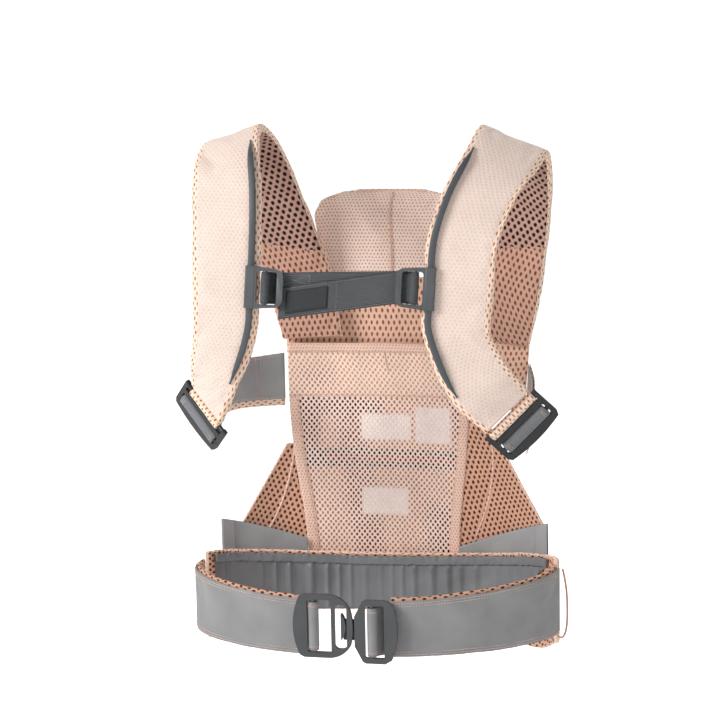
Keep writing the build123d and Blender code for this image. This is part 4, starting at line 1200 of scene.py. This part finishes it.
lower[-OUTER_POINTS:] = np.linspace(0, FREE_END_DROP, OUTER_POINTS)
path = strap_path - SLIDE_DIRECTION * lower[:, None]
across = np.linspace(-WEBBING / 2, WEBBING / 2, 9)
webbing_grid = path[:, None] + SLIDE_DIRECTION * across[:, None]
cloth_sheet("back_strap_webbing", webbing_grid, WEBBING_THICK, DARK_WEBBING, "back_strap",
            "dark_webbing", "back_webbing_inner", "back_webbing_outer")

# %% [markdown]
# ## Patch and stitches on the back strap
# A small blank patch is sewn to the free end. Thread runs along both edges, once across, and as a
# crossed box beside the left slider. Each is placed by its share of the way along the strap and
# its height across it.

# %% back strap hems, patch and stitches
def on_strap(start, end, share, up_by, proud):
    """A point on a strip between two ends: share of the way, up across it, and proud of it."""
    share = np.asarray(share, float)[..., None]
    return (start + (end - start) * share + SLIDE_DIRECTION * np.asarray(up_by)[..., None]
            + strap_out * proud)


free_end = outer_left - SLIDE_DIRECTION * FREE_END_DROP
patch_u, patch_v = np.meshgrid(np.linspace(0.058, 0.40, 20), np.linspace(-13.5, 13.5, 10))
patch_grid = on_strap(free_end, outer_right, patch_u, patch_v, 1.25)
cloth_sheet("blank_patch_cloth", patch_grid, 0.7, PATCH_WEAVE, "back_strap", "patch_fabric",
            "blank_patch")
edge_paths = [on_strap(free_end, outer_right, np.linspace(0.03, 0.94, 60), row + np.zeros(60), 0.8)
              for row in (WEBBING / 2 - 2.2, 2.2 - WEBBING / 2)]
seam_path = on_strap(free_end, outer_right, np.full(12, 0.47), np.linspace(-17, 17, 12), 0.8)
box_left, box_right, box_high, box_low = 0.02, 0.25, 15.5, 3.0
box_u = [box_left, box_right, box_right, box_left, box_left, box_right, box_right, box_left]
box_v = [box_high, box_high, box_low, box_low, box_high, box_low, box_high, box_low]
box_path = on_strap(inner_left, inner_right, np.interp(np.linspace(0, 7, 90), np.arange(8), box_u),
                    np.interp(np.linspace(0, 7, 90), np.arange(8), box_v), 0.8)
lines = [*edge_paths, seam_path, box_path]
stitch_row(lines, [np.broadcast_to(strap_out, line.shape) for line in lines], GREY_THREAD,
           "back_strap_stitching", "back_strap", length=2.0, step=2.9, radius=0.3)
print("back strap made")

# %% [markdown]
# ## Sleeves and hems on the side buckles
# Cloth wraps each bar of the side buckles. Each wrap is a lathe: a closed profile of distance
# along the bar and radius, turned about the bar. The buckle's wrap is drawn out away from the
# strap, where the webbing leaves the bar.

# %% lathe
def lathe(name, centre, axis, profile, materials, drawn_out=0.0, facing=(0, 0, 1.0)):
    """Turns a closed profile of (along, radius) about an axis: a torus of len(profile) columns.

    drawn_out is the share by which the radius grows along the direction that facing gives.
    """
    count = 40
    first = unit(facing - axis * np.dot(facing, axis))
    second = np.cross(axis, first)
    turn = np.linspace(0, 2 * math.pi, count, endpoint=False)
    radius = profile[:, 1] * (1 + drawn_out * np.cos(turn)[:, None] ** 2)
    points = (centre + axis * profile[:, 0][None, :, None]
              + first * (radius * np.cos(turn)[:, None])[..., None]
              + second * (radius * np.sin(turn)[:, None])[..., None])
    columns = len(profile)
    index = np.arange(count * columns).reshape(count, columns)
    below = np.roll(index, -1, axis=0)
    faces = np.stack([index, np.roll(index, -1, 1), np.roll(below, -1, 1), below], -1)
    steps = np.linalg.norm(np.roll(profile, -1, axis=0) - profile, axis=1)
    v = np.concatenate([[0], np.cumsum(steps)])
    u = np.arange(count + 1) * 2 * math.pi * profile[:, 1].max() / count
    corner_u = np.stack([u[:-1], u[:-1], u[1:], u[1:]], -1)
    corner_v = np.stack([v[:-1], v[1:], v[1:], v[:-1]], -1)
    uvs = np.stack(np.broadcast_arrays(corner_u[:, None], corner_v[None]), axis=-1)
    return mesh_object(name, points.reshape(-1, 3), faces.reshape(-1, 4), uvs.reshape(-1, 4, 2),
                       np.zeros(columns * count), materials)


def tube_profile(length, outer, inner, steps=30, swell=0.0):
    """Closed profile of a tube: straight bore, rounded ends, and a wall that swells by a sine."""
    along = np.linspace(-0.5, 0.5, steps) * (length - 2)
    wall = np.stack([along, outer + swell * np.sin(along / 3.1)], axis=1)
    ends = np.array([[length / 2, outer - 1.0], [length / 2, inner]])
    return np.concatenate([wall, ends, ends[::-1] * (-1, 1)])


HEM_REACH = 8.5


def buckle_axes(stations, lean):
    """Hem bar's centre, the direction away from the strap, along the bar, and outward."""
    start, end, outward = (np.array(value, float) for value in stations[0][:3])
    along = unit(end - start)
    away = np.array(lean)
    away = unit(away - along * away.dot(along))
    normal = np.cross(away, along)
    if normal.dot(outward) < 0:
        normal = -normal
    return (start + end) / 2 + away * HEM_REACH, away, along, normal


BUCKLES = {
    "left": buckle_axes(STRAPS["left"], (-0.55, 0.58, -0.60)),
    "right": buckle_axes(STRAPS["right"], (0.55, 0.38, -0.74)),
}
BORE = 3.1
WEB_BAR = 24.5
SLEEVE_LENGTH = 67.5
SLEEVE_RADIUS = 6.4
SLEEVE_THREADS = 6.85
HEM_RADIUS = 5.9
for side, (centre, away, along, normal) in BUCKLES.items():
    body = f"side_buckle_{side}"
    sleeve = lathe(f"side_sleeve_webbing_{side}", centre + away * WEB_BAR, along,
                   tube_profile(SLEEVE_LENGTH, SLEEVE_RADIUS, BORE), [GREY_WEBBING],
                   drawn_out=0.3, facing=away)
    finish_piece(sleeve, body, "belt_fabric", f"side_sleeve_{side}")
    turn = np.radians(np.linspace(-70, 70, 16))[:, None]
    arc = SLEEVE_THREADS * (normal * np.cos(turn) + away * np.sin(turn))
    rounds = [centre + away * WEB_BAR + along * v + arc for v in (-29.5, -27, 27, 29.5)]
    stitch_row(rounds, [ring - centre - away * WEB_BAR for ring in rounds], PINK_THREAD,
               f"side_sleeve_stitching_{side}", body, length=2.2, step=2.9, radius=0.33)
    start, end = (np.array(point) for point in STRAPS[side][0][:2])
    width = np.linalg.norm(end - start) - 2.4
    hem = lathe(f"strap_hem_fold_{side}", centre, along,
                tube_profile(width, HEM_RADIUS, BORE, swell=0.12), [EDGE_MESH])
    finish_piece(hem, "carrier", "strap_knit", f"strap_hem_{side}")
print("side buckles dressed")

# %% [markdown]
# ## Side bands
# A woven grey band comes from the panel round the wearer's side to each side buckle. It is
# doubled near the panel, where a mesh band backs it. Its last stretch ends behind the buckle's
# sleeve.

# %% side bands
BAND_HALF = 29.0
BAND_BEHIND = 8.4


def band_end(side, past):
    """Station behind the buckle's sleeve, past its bar by a distance."""
    centre, away, along, normal = BUCKLES[side]
    middle = centre + away * (WEB_BAR + past) - normal * BAND_BEHIND
    return (tuple(middle - along * BAND_HALF), tuple(middle + along * BAND_HALF), tuple(normal),
            1.0)


SIDE_BANDS = {
    "left": [
        ((-138, 106, 229), (-138, 106, 290), (-0.45, 1, 0), 1.0),
        ((-167, 87, 230), (-167, 87, 288), (-0.7, 0.7, 0), 1.0),
        ((-196, 50, 231), (-197, 50, 288), (-0.95, 0.4, 0), 1.0),
        ((-210, 5, 222), (-215, 5, 280), (-1, 0.1, 0), 1.0),
        ((-207, -30, 208), (-221, -28, 264), (-1, 0, -0.1), 1.0),
        band_end("left", 12), band_end("left", -6),
    ],
    "right": [
        ((184, 89, 226), (187, 89, 284), (0.7, 0.7, 0), 1.0),
        ((192, 50, 214), (197, 50, 272), (1, 0.2, 0), 1.0),
        ((196, 5, 204), (203, 5, 262), (1, 0.05, 0), 1.0),
        ((196, -32, 198), (211, -28, 254), (1, 0, -0.1), 1.0),
        band_end("right", 10), band_end("right", -6),
    ],
}
SIDE_ROWS = 90
for side, stations in SIDE_BANDS.items():
    band = Band(stations, SIDE_ROWS)
    columns = np.linspace(0, 1, 15)
    sag = 0.6 * np.sin(np.linspace(0, 11, SIDE_ROWS))[:, None] * np.sin(columns * math.pi)
    grid = np.stack([band.at(2 * band.half * part, -0.9 + sag[:, k])
                     for k, part in enumerate(columns)], axis=1)
    piece = ring_piece(f"side_band_{side}", sheet_rings(grid, 1.6), [BAND_WEAVE], mirrored=True)
    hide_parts(f"side_strap_{side}")
    width, length, area = flat_size(grid)
    centre, away, along, normal = BUCKLES[side]
    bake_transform(piece)
    backed = stations[:4]
    backing = Band([(tuple(np.array(low) - (0, 0, 9)), high, face, 1.0)
                    for low, high, face, _ in backed], 50)
    grid = np.stack([backing.at(2 * backing.half * part, 1.5) for part in columns], axis=1)
    cloth_sheet(f"side_backing_mesh_{side}", grid, 1.9, EDGE_MESH, "carrier", "spacer_mesh",
                f"side_backing_{side}")
    inner_face = -band.out
    lines = [band.at(3.5 + 0 * band.half, -1.8)[1:52], band.at(2 * band.half - 3.5, -1.8)[1:52]]
    lines += [np.stack([band.at(2 * band.half * part, -1.8)[row] for part in columns])
              for row in (14, 17)]
    stitch_row(lines, [np.broadcast_to(inner_face[10], line.shape) for line in lines],
               PINK_THREAD, f"side_band_stitching_{side}", "carrier", length=2.2, step=3.0,
               radius=0.3)
print("side bands made")

# %% [markdown]
# ## Belt ends round the waist buckle
# Each end of the belt narrows to a fabric loop round the buckle's bar. The cloth comes from the
# belt at a slant, turns round the bar and is sewn back on itself, so its plan is a teardrop.

# %% belt loops
LOOP_HEIGHT = 61.0
LOOP_RADIUS = 5.6
LOOP_THREADS = 6.5
BUCKLE_LEVEL = -121.0
LOOPS = {"left": (-53.0, -8.0, (-58.0, -110.5)), "right": (20.0, -13.0, (38.5, -109.5))}
for side, (bar_x, middle, end) in LOOPS.items():
    bar = np.array([bar_x, BUCKLE_LEVEL])
    away = np.array(end) - bar
    heading = math.atan2(away[1], away[0])
    turn = heading + np.radians(np.linspace(28, 332, 34))
    circle = bar + LOOP_RADIUS * np.stack([np.cos(turn), np.sin(turn)], axis=1)
    side_step = np.array([-away[1], away[0]]) / np.linalg.norm(away)
    plan = np.concatenate([(np.array(end) + side_step * 0.9)[None], circle,
                           (np.array(end) - side_step * 0.9)[None]])
    levels = np.linspace(-0.5, 0.5, 13) * LOOP_HEIGHT
    grid = np.concatenate([np.repeat(plan[:, None], 13, 1),
                           np.broadcast_to((middle + levels)[None, :, None], (len(plan), 13, 1))],
                          axis=2)
    cloth_sheet(f"belt_loop_cloth_{side}", grid, 1.6, BELT_WEAVE, "carrier", "belt_fabric",
                f"belt_loop_{side}")
    front = np.radians(np.linspace(-160, -20, 18))
    rows = [np.stack([bar_x + LOOP_THREADS * np.cos(front),
                      BUCKLE_LEVEL + LOOP_THREADS * np.sin(front), middle + 0 * front + level],
                     axis=1) for level in (-26.5, -25, 25, 26.5)]
    faces = [np.stack([np.cos(front), np.sin(front), 0 * front], axis=1)] * 4
    stitch_row(rows, faces, PINK_THREAD, f"belt_loop_stitching_{side}", "carrier", length=1.8,
               step=2.3, radius=0.28)
print("belt loops made")

# %% [markdown]
# ## Panel, pocket and gussets
# The front panel is a tall sheet of coarse mesh. On its near side a fine mesh pocket is sewn to
# it, with a folded hem, bound edges and one seam across. The pocket is a single open layer, so
# each eyelet takes the colour of what lies behind it: panel, shadow, labels or zip.

# %% front panel
PANEL_LEVELS = [
    (-20, -111, 91, 113, 125), (60, -115, 93, 114, 126), (165, -129, 103, 114, 127),
    (250, -133, 107, 113, 125), (300, -136, 148, 112, 122), (390, -137, 148, 110, 116),
]
panel_grid = level_grid(PANEL_LEVELS, 120, 90)
panel_grid[..., 1] += 1.6
upper = np.clip((panel_grid[..., 2] - 300) / 60, 0, 1)
panel_grid[..., 1] += 0.7 * np.sin(panel_grid[..., 0] / 13) * upper
cloth_sheet("front_panel_mesh", panel_grid, 2.6, PANEL_MESH, "carrier", "panel_mesh",
            "front_panel")

# %% [markdown]
# ## Pocket
# The pocket is one thin layer of finer mesh, slack between its bindings and flat along its seam.
# Its wrinkles are three crossing sine waves, which fade out at the sides and near the seam.

# %% pocket
POCKET_LEVELS = [
    (-18, -111, 91, 108, 119), (60, -115, 93, 108, 120), (165, -129, 103, 107, 119),
    (250, -133, 105, 105, 117), (303, -133, 89, 104, 114),
]
SEAM_LEVEL = 232.0
pocket_grid = level_grid(POCKET_LEVELS, 180, 130)
px, pz = pocket_grid[..., 0], pocket_grid[..., 2]
inner_part = np.sin(np.linspace(0, math.pi, 130))
wrinkle = (0.9 * np.sin(px / 19 + pz / 75) + 0.5 * np.sin(px / 8.5 - pz / 46 + 1)
           + 0.5 * np.sin(pz / 23 + 0.6 * np.sin(px / 31)))
near_seam = 1 - 0.8 * np.exp(-((pz - SEAM_LEVEL) / 7) ** 2)
pocket_grid[..., 1] += 0.8 - 1.0 * wrinkle * inner_part * near_seam
pocket = cloth_sheet("pocket_mesh", pocket_grid, 0.9, POCKET_MESH, "carrier", "panel_mesh",
                     "pocket_panel")
print("pocket rows:", pocket_grid.shape)

# %% [markdown]
# ## Seen through the pocket
# Real eyelets let the eye through to the labels, the zip and the shadow behind them. Thousands of
# holes would be too many faces. So a colour attribute holds, for each point of the pocket, the
# colour that lies behind it with its shade painted in, laid on in layers, and the eyelets take
# that colour.

# %% what shows through the pocket
LABELS = {"long": (-6, 191, 66, 34), "square": (57, 195, 48, 48), "low": (-9, 91, 62, 36)}
ZIP_HEIGHT = 149.0


def patch_of(centre_x, centre_z, width, height, soft=3.0):
    """1 inside a rectangle on the pocket, falling evenly to 0 across its edge."""
    beyond = np.maximum(np.abs(px - centre_x) - width / 2, np.abs(pz - centre_z) - height / 2)
    return np.clip(0.5 - beyond / soft, 0, 1)


# each layer is where it shows and the colour seen there, from the deepest to the nearest
# painted shade: the streaks and the patches in #4a1d12, #8a452a and #5c2416 are the shadow in the
# gap behind the pocket
painted_shade_streaks = np.clip(np.sin(px / 17 + pz / 120) * np.sin(px / 41 - 0.8) * 1.6, 0, 1)
behind_and_shade_layers = [
    (np.clip((pz - SEAM_LEVEL) / 4, 0, 1), "#d99f79"),
    (painted_shade_streaks * (pz < SEAM_LEVEL), "#7c3a22"),
    (patch_of(-112, 195, 34, 70, 12) + patch_of(-75, 218, 130, 22, 10), "#4a1d12"),
    (patch_of(-95, 255, 40, 26, 24) * 0.6, "#8a452a"),
    (patch_of(70, 45, 46, 90, 22), "#5c2416"),
    (patch_of(10, -4, 150, 14, 8), "#7a1a1c"),
    (patch_of(76, 10, 28, 46, 8), "#140c0b"),
    (patch_of(-13, ZIP_HEIGHT, 240, 25, 3), "#100b0b"),
    (patch_of(3, ZIP_HEIGHT - 0.5, 178, 9.5, 3), "#86141f"),
    *[(patch_of(x, z, width, height), "#f4eef2") for x, z, width, height in LABELS.values()],
]
seen_behind = np.broadcast_to(colour("#b97c5c"), (*px.shape, 4))
for share, code in behind_and_shade_layers:
    share = np.clip(share, 0, 1)[..., None]
    seen_behind = seen_behind * (1 - share) + np.array(colour(code)) * share
both_faces = np.concatenate([seen_behind, seen_behind[:, ::-1]], axis=1)
behind = pocket.data.color_attributes.new("behind", "FLOAT_COLOR", "POINT")
behind.data.foreach_set("color", both_faces.reshape(-1).astype(np.float32))
print("layers behind the pocket:", len(behind_and_shade_layers))

# %% [markdown]
# ## Bindings
# The pocket's cut sides are folded into a knitted binding with a thin piping, and its top edge is
# a hem. Each is a strip of the pocket's own grid, lifted towards the wearer by its thickness.

# %% pocket bindings and seams
NEAR = np.array([0.0, -1.0, 0.0])


def rows_of_height(z):
    """Share of the pocket's rows at a height."""
    return np.interp(z, pocket_grid[:, 65, 2], np.linspace(0, 1, len(pocket_grid)))


binding_rows = np.linspace(0.0, rows_of_height(SEAM_LEVEL + 1), 90)
strip = np.linspace(0, 1, 7)
for name, start, width_low, width_high in (("left", 0.0, 0.075, 0.05), ("right", 1.0, 0.07, 0.05)):
    widths = np.interp(binding_rows, binding_rows[[0, -1]], [width_low, width_high])
    sign = 1 if name == "left" else -1
    columns = start + sign * widths[:, None] * strip
    grid = on_grid(pocket_grid, np.repeat(binding_rows[:, None], 7, 1), columns) + NEAR * 1.6
    grid[:, [0, -1]] -= NEAR * 0.9
    cloth_sheet(f"pocket_binding_{name}", grid, 1.4, PINK_BINDING, "carrier", "panel_mesh")
    bead(f"pocket_binding_piping_{name}", grid[:, -1] + NEAR * 0.3, 0.8, PINK_BINDING, "carrier",
         "panel_mesh")
hem_rows = np.linspace(rows_of_height(291), 1.0, 6)
hem_columns = np.linspace(0.004, 0.996, 120)
grid = on_grid(pocket_grid, np.repeat(hem_rows[:, None], 120, 1),
               np.repeat(hem_columns[None], 6, 0)) + NEAR * 1.2
cloth_sheet("pocket_hem", grid, 1.5, PINK_BINDING, "carrier", "panel_mesh")
seam_columns = np.linspace(0.01, 0.99, 120)
bead("pocket_cross_seam", on_grid(pocket_grid, np.full(120, rows_of_height(SEAM_LEVEL)),
                                  seam_columns) + NEAR * 0.6, 0.9, PINK_BINDING, "carrier",
     "panel_mesh", flat=0.7)
seam_rows = np.linspace(rows_of_height(266), 0.985, 30)
bead("pocket_upright_seam", on_grid(pocket_grid, seam_rows, np.full(30, 0.56)) + NEAR * 0.7, 1.1,
     PINK_BINDING, "carrier", "panel_mesh", flat=0.8)
thread_row = [on_grid(pocket_grid, np.full(140, rows_of_height(height)),
                      np.linspace(margin, 1 - margin, 140)) + NEAR * proud
              for height, margin, proud in ((SEAM_LEVEL + 2.4, 0.02, 0.7), (292.5, 0.01, 1.8))]
stitch_row(thread_row, [np.broadcast_to(NEAR, line.shape) for line in thread_row], PINK_THREAD,
           "pocket_stitching", "carrier", length=2.0, step=3.0, radius=0.28)
print("pocket bound")

# %% [markdown]
# ## Labels and zip between the layers
# Three blank white satin labels and a black zip with dark red teeth lie between the two layers.
# They stay hidden there, so flat cloths with two simple rows of teeth are enough.

# %% labels and zip
def between_layers(x, z):
    """A place just behind the pocket: its depth is the parabola that both layers share."""
    return np.stack([x, 123.0 - 12.5 * ((x + 13) / 116) ** 2, z], axis=-1)


for name, (x, z, width, height) in LABELS.items():
    u, v = np.meshgrid(np.linspace(-0.5, 0.5, 16), np.linspace(-0.5, 0.5, 10))
    grid = between_layers(x + u * width, z + v * height)
    cloth_sheet(f"care_label_{name}", grid, 0.5, LABEL_SATIN, "carrier", "label_satin",
                *(["care_labels"] if name == "long" else []), held="laid")
u, v = np.meshgrid(np.linspace(-110, 84, 60), ZIP_HEIGHT + np.linspace(-12, 12, 10))
tape_grid = between_layers(u, v)
cloth_sheet("seat_zip_tape", tape_grid, 0.8, ZIP_TAPE, "carrier", "zip_tape", "seat_zip",
            held="laid")
teeth_path = between_layers(np.linspace(-108, 82, 150), np.full(150, ZIP_HEIGHT))
stitch_row([teeth_path + NEAR * 1.0 + (0, 0, off) for off in (-2.2, 2.2)],
           [np.broadcast_to(NEAR, teeth_path.shape)] * 2, ZIP_TEETH, "seat_zip_teeth", "carrier",
           length=1.9, step=2.6, radius=1.0)

# %% [markdown]
# ## Gussets, wing and seat trims
# Coarse mesh gussets fill the corners between the panel and the belt, over the baby's thighs.
# Each is a four-sided sheet, filled by blending its edges. Grey satin trims stand on the belt
# below them, with a folded double edge.

# %% corner sheets
def corner_grid(a, b, c, d, rows, columns, bulge):
    """Sheet between four corners: straight sides, with a bulge of the product of two sines."""
    a, b, c, d = (np.array(p, float) for p in (a, b, c, d))
    s = np.linspace(0, 1, rows)[:, None, None]
    t = np.linspace(0, 1, columns)[None, :, None]
    grid = (a * (1 - t) + b * t) * (1 - s) + (d * (1 - t) + c * t) * s
    swell = (np.sin(math.pi * s) * np.sin(math.pi * t))[..., 0]
    normal = unit(np.cross(b - a, d - a) + np.cross(c - b, c - d))
    if normal[1] > 0:
        normal = -normal
    return grid + normal * (swell * bulge)[..., None]


def hung_between(corners, rows, columns, bulge, sag):
    """A corner sheet whose lowest edge also bows outwards by sag, fading out upwards."""
    grid = corner_grid(*corners, rows, columns, bulge)
    s = np.linspace(0, 1, rows)[:, None]
    t = np.linspace(0, 1, columns)
    bow = sag * 4 * t * (1 - t) * (1 - s) ** 2
    edge = np.array(corners[1], float) - corners[0]
    outward = unit(np.array([-edge[1], edge[0], 0]) * np.sign(edge[0]))
    return grid + outward * bow[..., None]


gusset_left = hung_between([(-106, 111.5, 28), (-198, 74, 60), (-137, 108.5, 168),
                            (-124, 111.5, 168)], 44, 40, -1.0, 8.0)
cloth_sheet("gusset_mesh_left", gusset_left, 2.0, GUSSET_MESH, "carrier", "gusset_mesh",
            "gusset_left")
gusset_right = hung_between([(84, 111.5, 30), (213, 60, 72), (137, 96, 197), (98, 110.5, 207)],
                            44, 50, -1.5, 10.0)
cloth_sheet("gusset_mesh_right", gusset_right, 2.0, GUSSET_MESH, "carrier", "gusset_mesh",
            "gusset_right")
for name, grid, first, last in (("left", gusset_left, (0.0, 0.62), (1.0, 0.3)),
                                ("right", gusset_right, (0.05, 0.2), (0.95, 0.85))):
    share = np.linspace(0.02, 0.98, 40)
    line = on_grid(grid, first[0] + (last[0] - first[0]) * share,
                   first[1] + (last[1] - first[1]) * share)
    bead(f"gusset_seam_{name}", line + NEAR * 1.3, 1.3, PINK_BINDING, "carrier", "gusset_mesh",
         flat=0.7)
    rim = on_grid(grid, np.linspace(0, 1, 50), np.full(50, 0.985))
    bead(f"gusset_rim_{name}", rim + NEAR * 0.4, 1.5, PINK_BINDING, "carrier", "gusset_mesh")
wing = corner_grid((108, 107, 326), (188, 94, 318), (181, 92, 232), (108, 106, 192), 40, 34,
                   -0.8)
cloth_sheet("wing_mesh_right", wing, 2.0, PANEL_MESH, "carrier", "panel_mesh", "wing_right")

# %% [markdown]
# ## Seat trims
# The satin trims stand on the far belt's outline. So they are bands on the ring, moved out by
# three millimetres, with a top edge that slants. Crossing waves give the cloth its creases.

# %% seat trims
TRIMS = {"left": ((118.2, 155), lambda x: 44 - 0.36 * (x + 118)),
         "right": ((25, 67.5), lambda x: 37 + 0.41 * (x - 95))}
for side, (span, edge_height) in TRIMS.items():
    band = Band(ring_stations(*span, -3.0, lambda x: 0 * x, edge_height), 70)
    columns = np.linspace(0, 1, 26)
    rows = np.linspace(0, 1, 70)[:, None]
    crease = (0.8 * np.sin(rows * 7 + 1) * np.sin(columns * 2.6)
              + 0.5 * np.sin(rows * 17 + columns * 3))
    grid = np.stack([band.at(2 * band.half * part, -0.9 + 0.6 * crease[:, k])
                     for k, part in enumerate(columns)], axis=1)
    cloth_sheet(f"seat_trim_cloth_{side}", grid, 1.3, TRIM_SATIN, "carrier", "belt_fabric",
                f"seat_trim_{side}")
    outer_rows = slice(-12, None) if side == "left" else slice(0, 12)
    fold = np.stack([band.at(2 * band.half * part, -2.4) for part in columns], axis=1)[outer_rows]
    cloth_sheet(f"seat_trim_fold_{side}", fold, 1.5, TRIM_SATIN, "carrier", "belt_fabric")
print("gussets and trims made")

# %% [markdown]
# ## Head support seams and clip straps
# The head support is made of panels, joined by a raised seam left of its middle and hemmed along
# its top. Two narrow straps run from the front clips up under the shoulder straps.

# %% head seams
head_front = head_grid - (0, HEAD_PAD / 2, 0)
seam = on_grid(head_front, np.linspace(0.01, 0.97, 60), np.full(60, 0.53)) + NEAR * 0.9
bead("head_support_seam", seam, 1.2, PINK_BINDING, "headrest", "panel_mesh", flat=0.8)
rim_u = np.linspace(0, 1, 90)
rim = on_grid(head_grid, np.full(90, 0.985), rim_u)
bead("head_support_rim", rim, 2.0, PINK_BINDING, "headrest", "panel_mesh")
CLIP_WEB_HALF = 10.0
CLIPS = {"left": (-117.0, 0.0), "right": (118.0, -3.0)}
for side, (x, front) in CLIPS.items():
    path = [(126.2, 360), (126.2, 374), (112.5 + front, 405), (106 + front, 432),
            (101 + front, 452)]
    band = Band([((x - CLIP_WEB_HALF, y, z), (x + CLIP_WEB_HALF, y, z), (0, 1, 0.2), 1.0)
                 for y, z in path], 60)
    columns = np.linspace(0, 1, 9)
    grid = np.stack([band.at(2 * band.half * part, 0.8) for part in columns], axis=1)
    cloth_sheet(f"clip_strap_{side}", grid, 1.4, DARK_WEBBING, "carrier", "dark_webbing",
                f"clip_webbing_{side}")
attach(keeper_cord, "carrier")
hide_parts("keeper_cord")
keeper_cord.data.materials.append(CORD_COVER)
print("small parts made")

# %% [markdown]
# ## Finishing the mouldings
# The frame's own meshes are right for the hard parts. They get their material and a small rounded
# edge, because no moulded edge is truly sharp, and it is the rounding that catches the light.

# %% hard parts
HARD = {
    "slider_left": SLIDER_ACETAL, "slider_right": SLIDER_ACETAL,
    "waist_frame": WAIST_ACETAL, "waist_hook": WAIST_ACETAL,
    "side_frame_left": SIDE_ACETAL, "side_frame_right": SIDE_ACETAL,
    "clip_receiver_left": CLIP_ACETAL, "clip_receiver_right": CLIP_ACETAL,
    "clip_tongue_left": CLIP_ACETAL, "clip_tongue_right": CLIP_ACETAL,
    "clip_button_left": SLIDER_ACETAL, "clip_button_right": SLIDER_ACETAL,
    "head_buttons": CLIP_ACETAL,
}
for name, material in HARD.items():
    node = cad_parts[name]
    node.data.materials.clear()
    node.data.materials.append(material)
    join = node.modifiers.new("join", "WELD")
    join.merge_threshold = 0.00001
    rounded = node.modifiers.new("rounded", "BEVEL")
    rounded.width = 0.0005
    rounded.segments = 2
    rounded.limit_method = "ANGLE"
    rounded.angle_limit = math.radians(35)
    rounded.harden_normals = True
print("hard parts:", len(HARD))

# %% [markdown]
# ## Floor, light and background
# A catalogue studio stands the object in white paper that curves up all round, so no horizon
# shows. It is one surface turned about the object: a flat floor, a quarter circle and a wall. The
# paper is lit on its own, and that light is kept off the object: its glow counts only where the
# camera sees the paper. A large key lamp stands left and above, a weak fill on the right, and a
# rim lamp beyond.

# %% stage
FLOOR_DROP = 0.12
FLOOR_RINGS = [0.01, 1.5]
FLOOR_RADIUS = 4.0
CURVE_RADIUS = 1.5
WALL_HEIGHT = 2.5
level = cad_box[0][2] - FLOOR_DROP
quarter = np.linspace(0, math.pi / 2, 16)
paper_out = np.concatenate([FLOOR_RINGS, FLOOR_RADIUS + CURVE_RADIUS * np.sin(quarter),
                            [FLOOR_RADIUS + CURVE_RADIUS]])
paper_up = np.concatenate([[0, 0], CURVE_RADIUS * (1 - np.cos(quarter)),
                           [CURVE_RADIUS + WALL_HEIGHT]]) + level
around = np.linspace(0, 2 * math.pi, 64, endpoint=False)
paper_points = np.stack(np.broadcast_arrays(
    paper_out[:, None] * np.cos(around), paper_out[:, None] * np.sin(around),
    paper_up[:, None]), axis=-1)
index = np.arange(len(paper_out) * 64).reshape(-1, 64)
after = np.roll(index, -1, axis=1)
paper_faces = np.stack([index[:-1], after[:-1], after[1:], index[1:]], -1).reshape(-1, 4)
floor_data = bpy.data.meshes.new("paper_floor")
floor_data.from_pydata(paper_points.reshape(-1, 3).tolist(), [], paper_faces.tolist())
floor_data.polygons.foreach_set("use_smooth", np.ones(len(paper_faces), bool))
floor = bpy.data.objects.new("paper_floor", floor_data)
bpy.context.scene.collection.objects.link(floor)
paper, paper_tree, paper_shader = start_material("white_paper_sweep", 0.9)
paper_shader.inputs["Base Color"].default_value = colour("#f4f4f4")
paper_shader.inputs["Emission Color"].default_value = (1, 1, 1, 1)
ray = add(paper_tree, "ShaderNodeLightPath")
glow = add(paper_tree, "ShaderNodeMath", {0: ray.outputs["Is Camera Ray"], 1: 0.62, 2: 0.1},
           operation="MULTIPLY_ADD")
paper_tree.links.new(glow.outputs[0], paper_shader.inputs["Emission Strength"])
floor_data.materials.append(paper)

world = bpy.data.worlds.new("studio")
world.use_nodes = True
world.node_tree.nodes["Background"].inputs["Color"].default_value = (1, 1, 1, 1)
world.node_tree.nodes["Background"].inputs["Strength"].default_value = 0.24
bpy.context.scene.world = world
bpy.context.scene.view_settings.view_transform = "Standard"


def area_lamp(name, place, aim, size, power):
    """A square soft lamp at a place, in metres, turned so that its -Z points at the aim."""
    lamp = bpy.data.lights.new(name, "AREA")
    lamp.shape = "SQUARE"
    lamp.size = size
    lamp.energy = power
    made = bpy.data.objects.new(name, lamp)
    away = unit(np.array(place, float) - np.array(aim, float))
    side = unit(np.cross((0, 0, 1.0), away))
    turned = np.eye(4)
    turned[:3, 0], turned[:3, 1], turned[:3, 2] = side, np.cross(away, side), away
    turned[:3, 3] = place
    made.matrix_world = turned.T.tolist()
    bpy.context.scene.collection.objects.link(made)


area_lamp("key", (-1.9, -1.5, 1.5), (0, 0, 0.3), 1.1, 58)
area_lamp("fill", (1.9, -1.6, 0.9), (0, 0, 0.3), 1.6, 9)
area_lamp("rim", (0.3, 1.8, 1.9), (0, 0, 0.3), 1.5, 22)

# %% [markdown]
# ## Finish
# The last cell brings the view layer up to date.

# %% finish
bpy.context.view_layer.update()
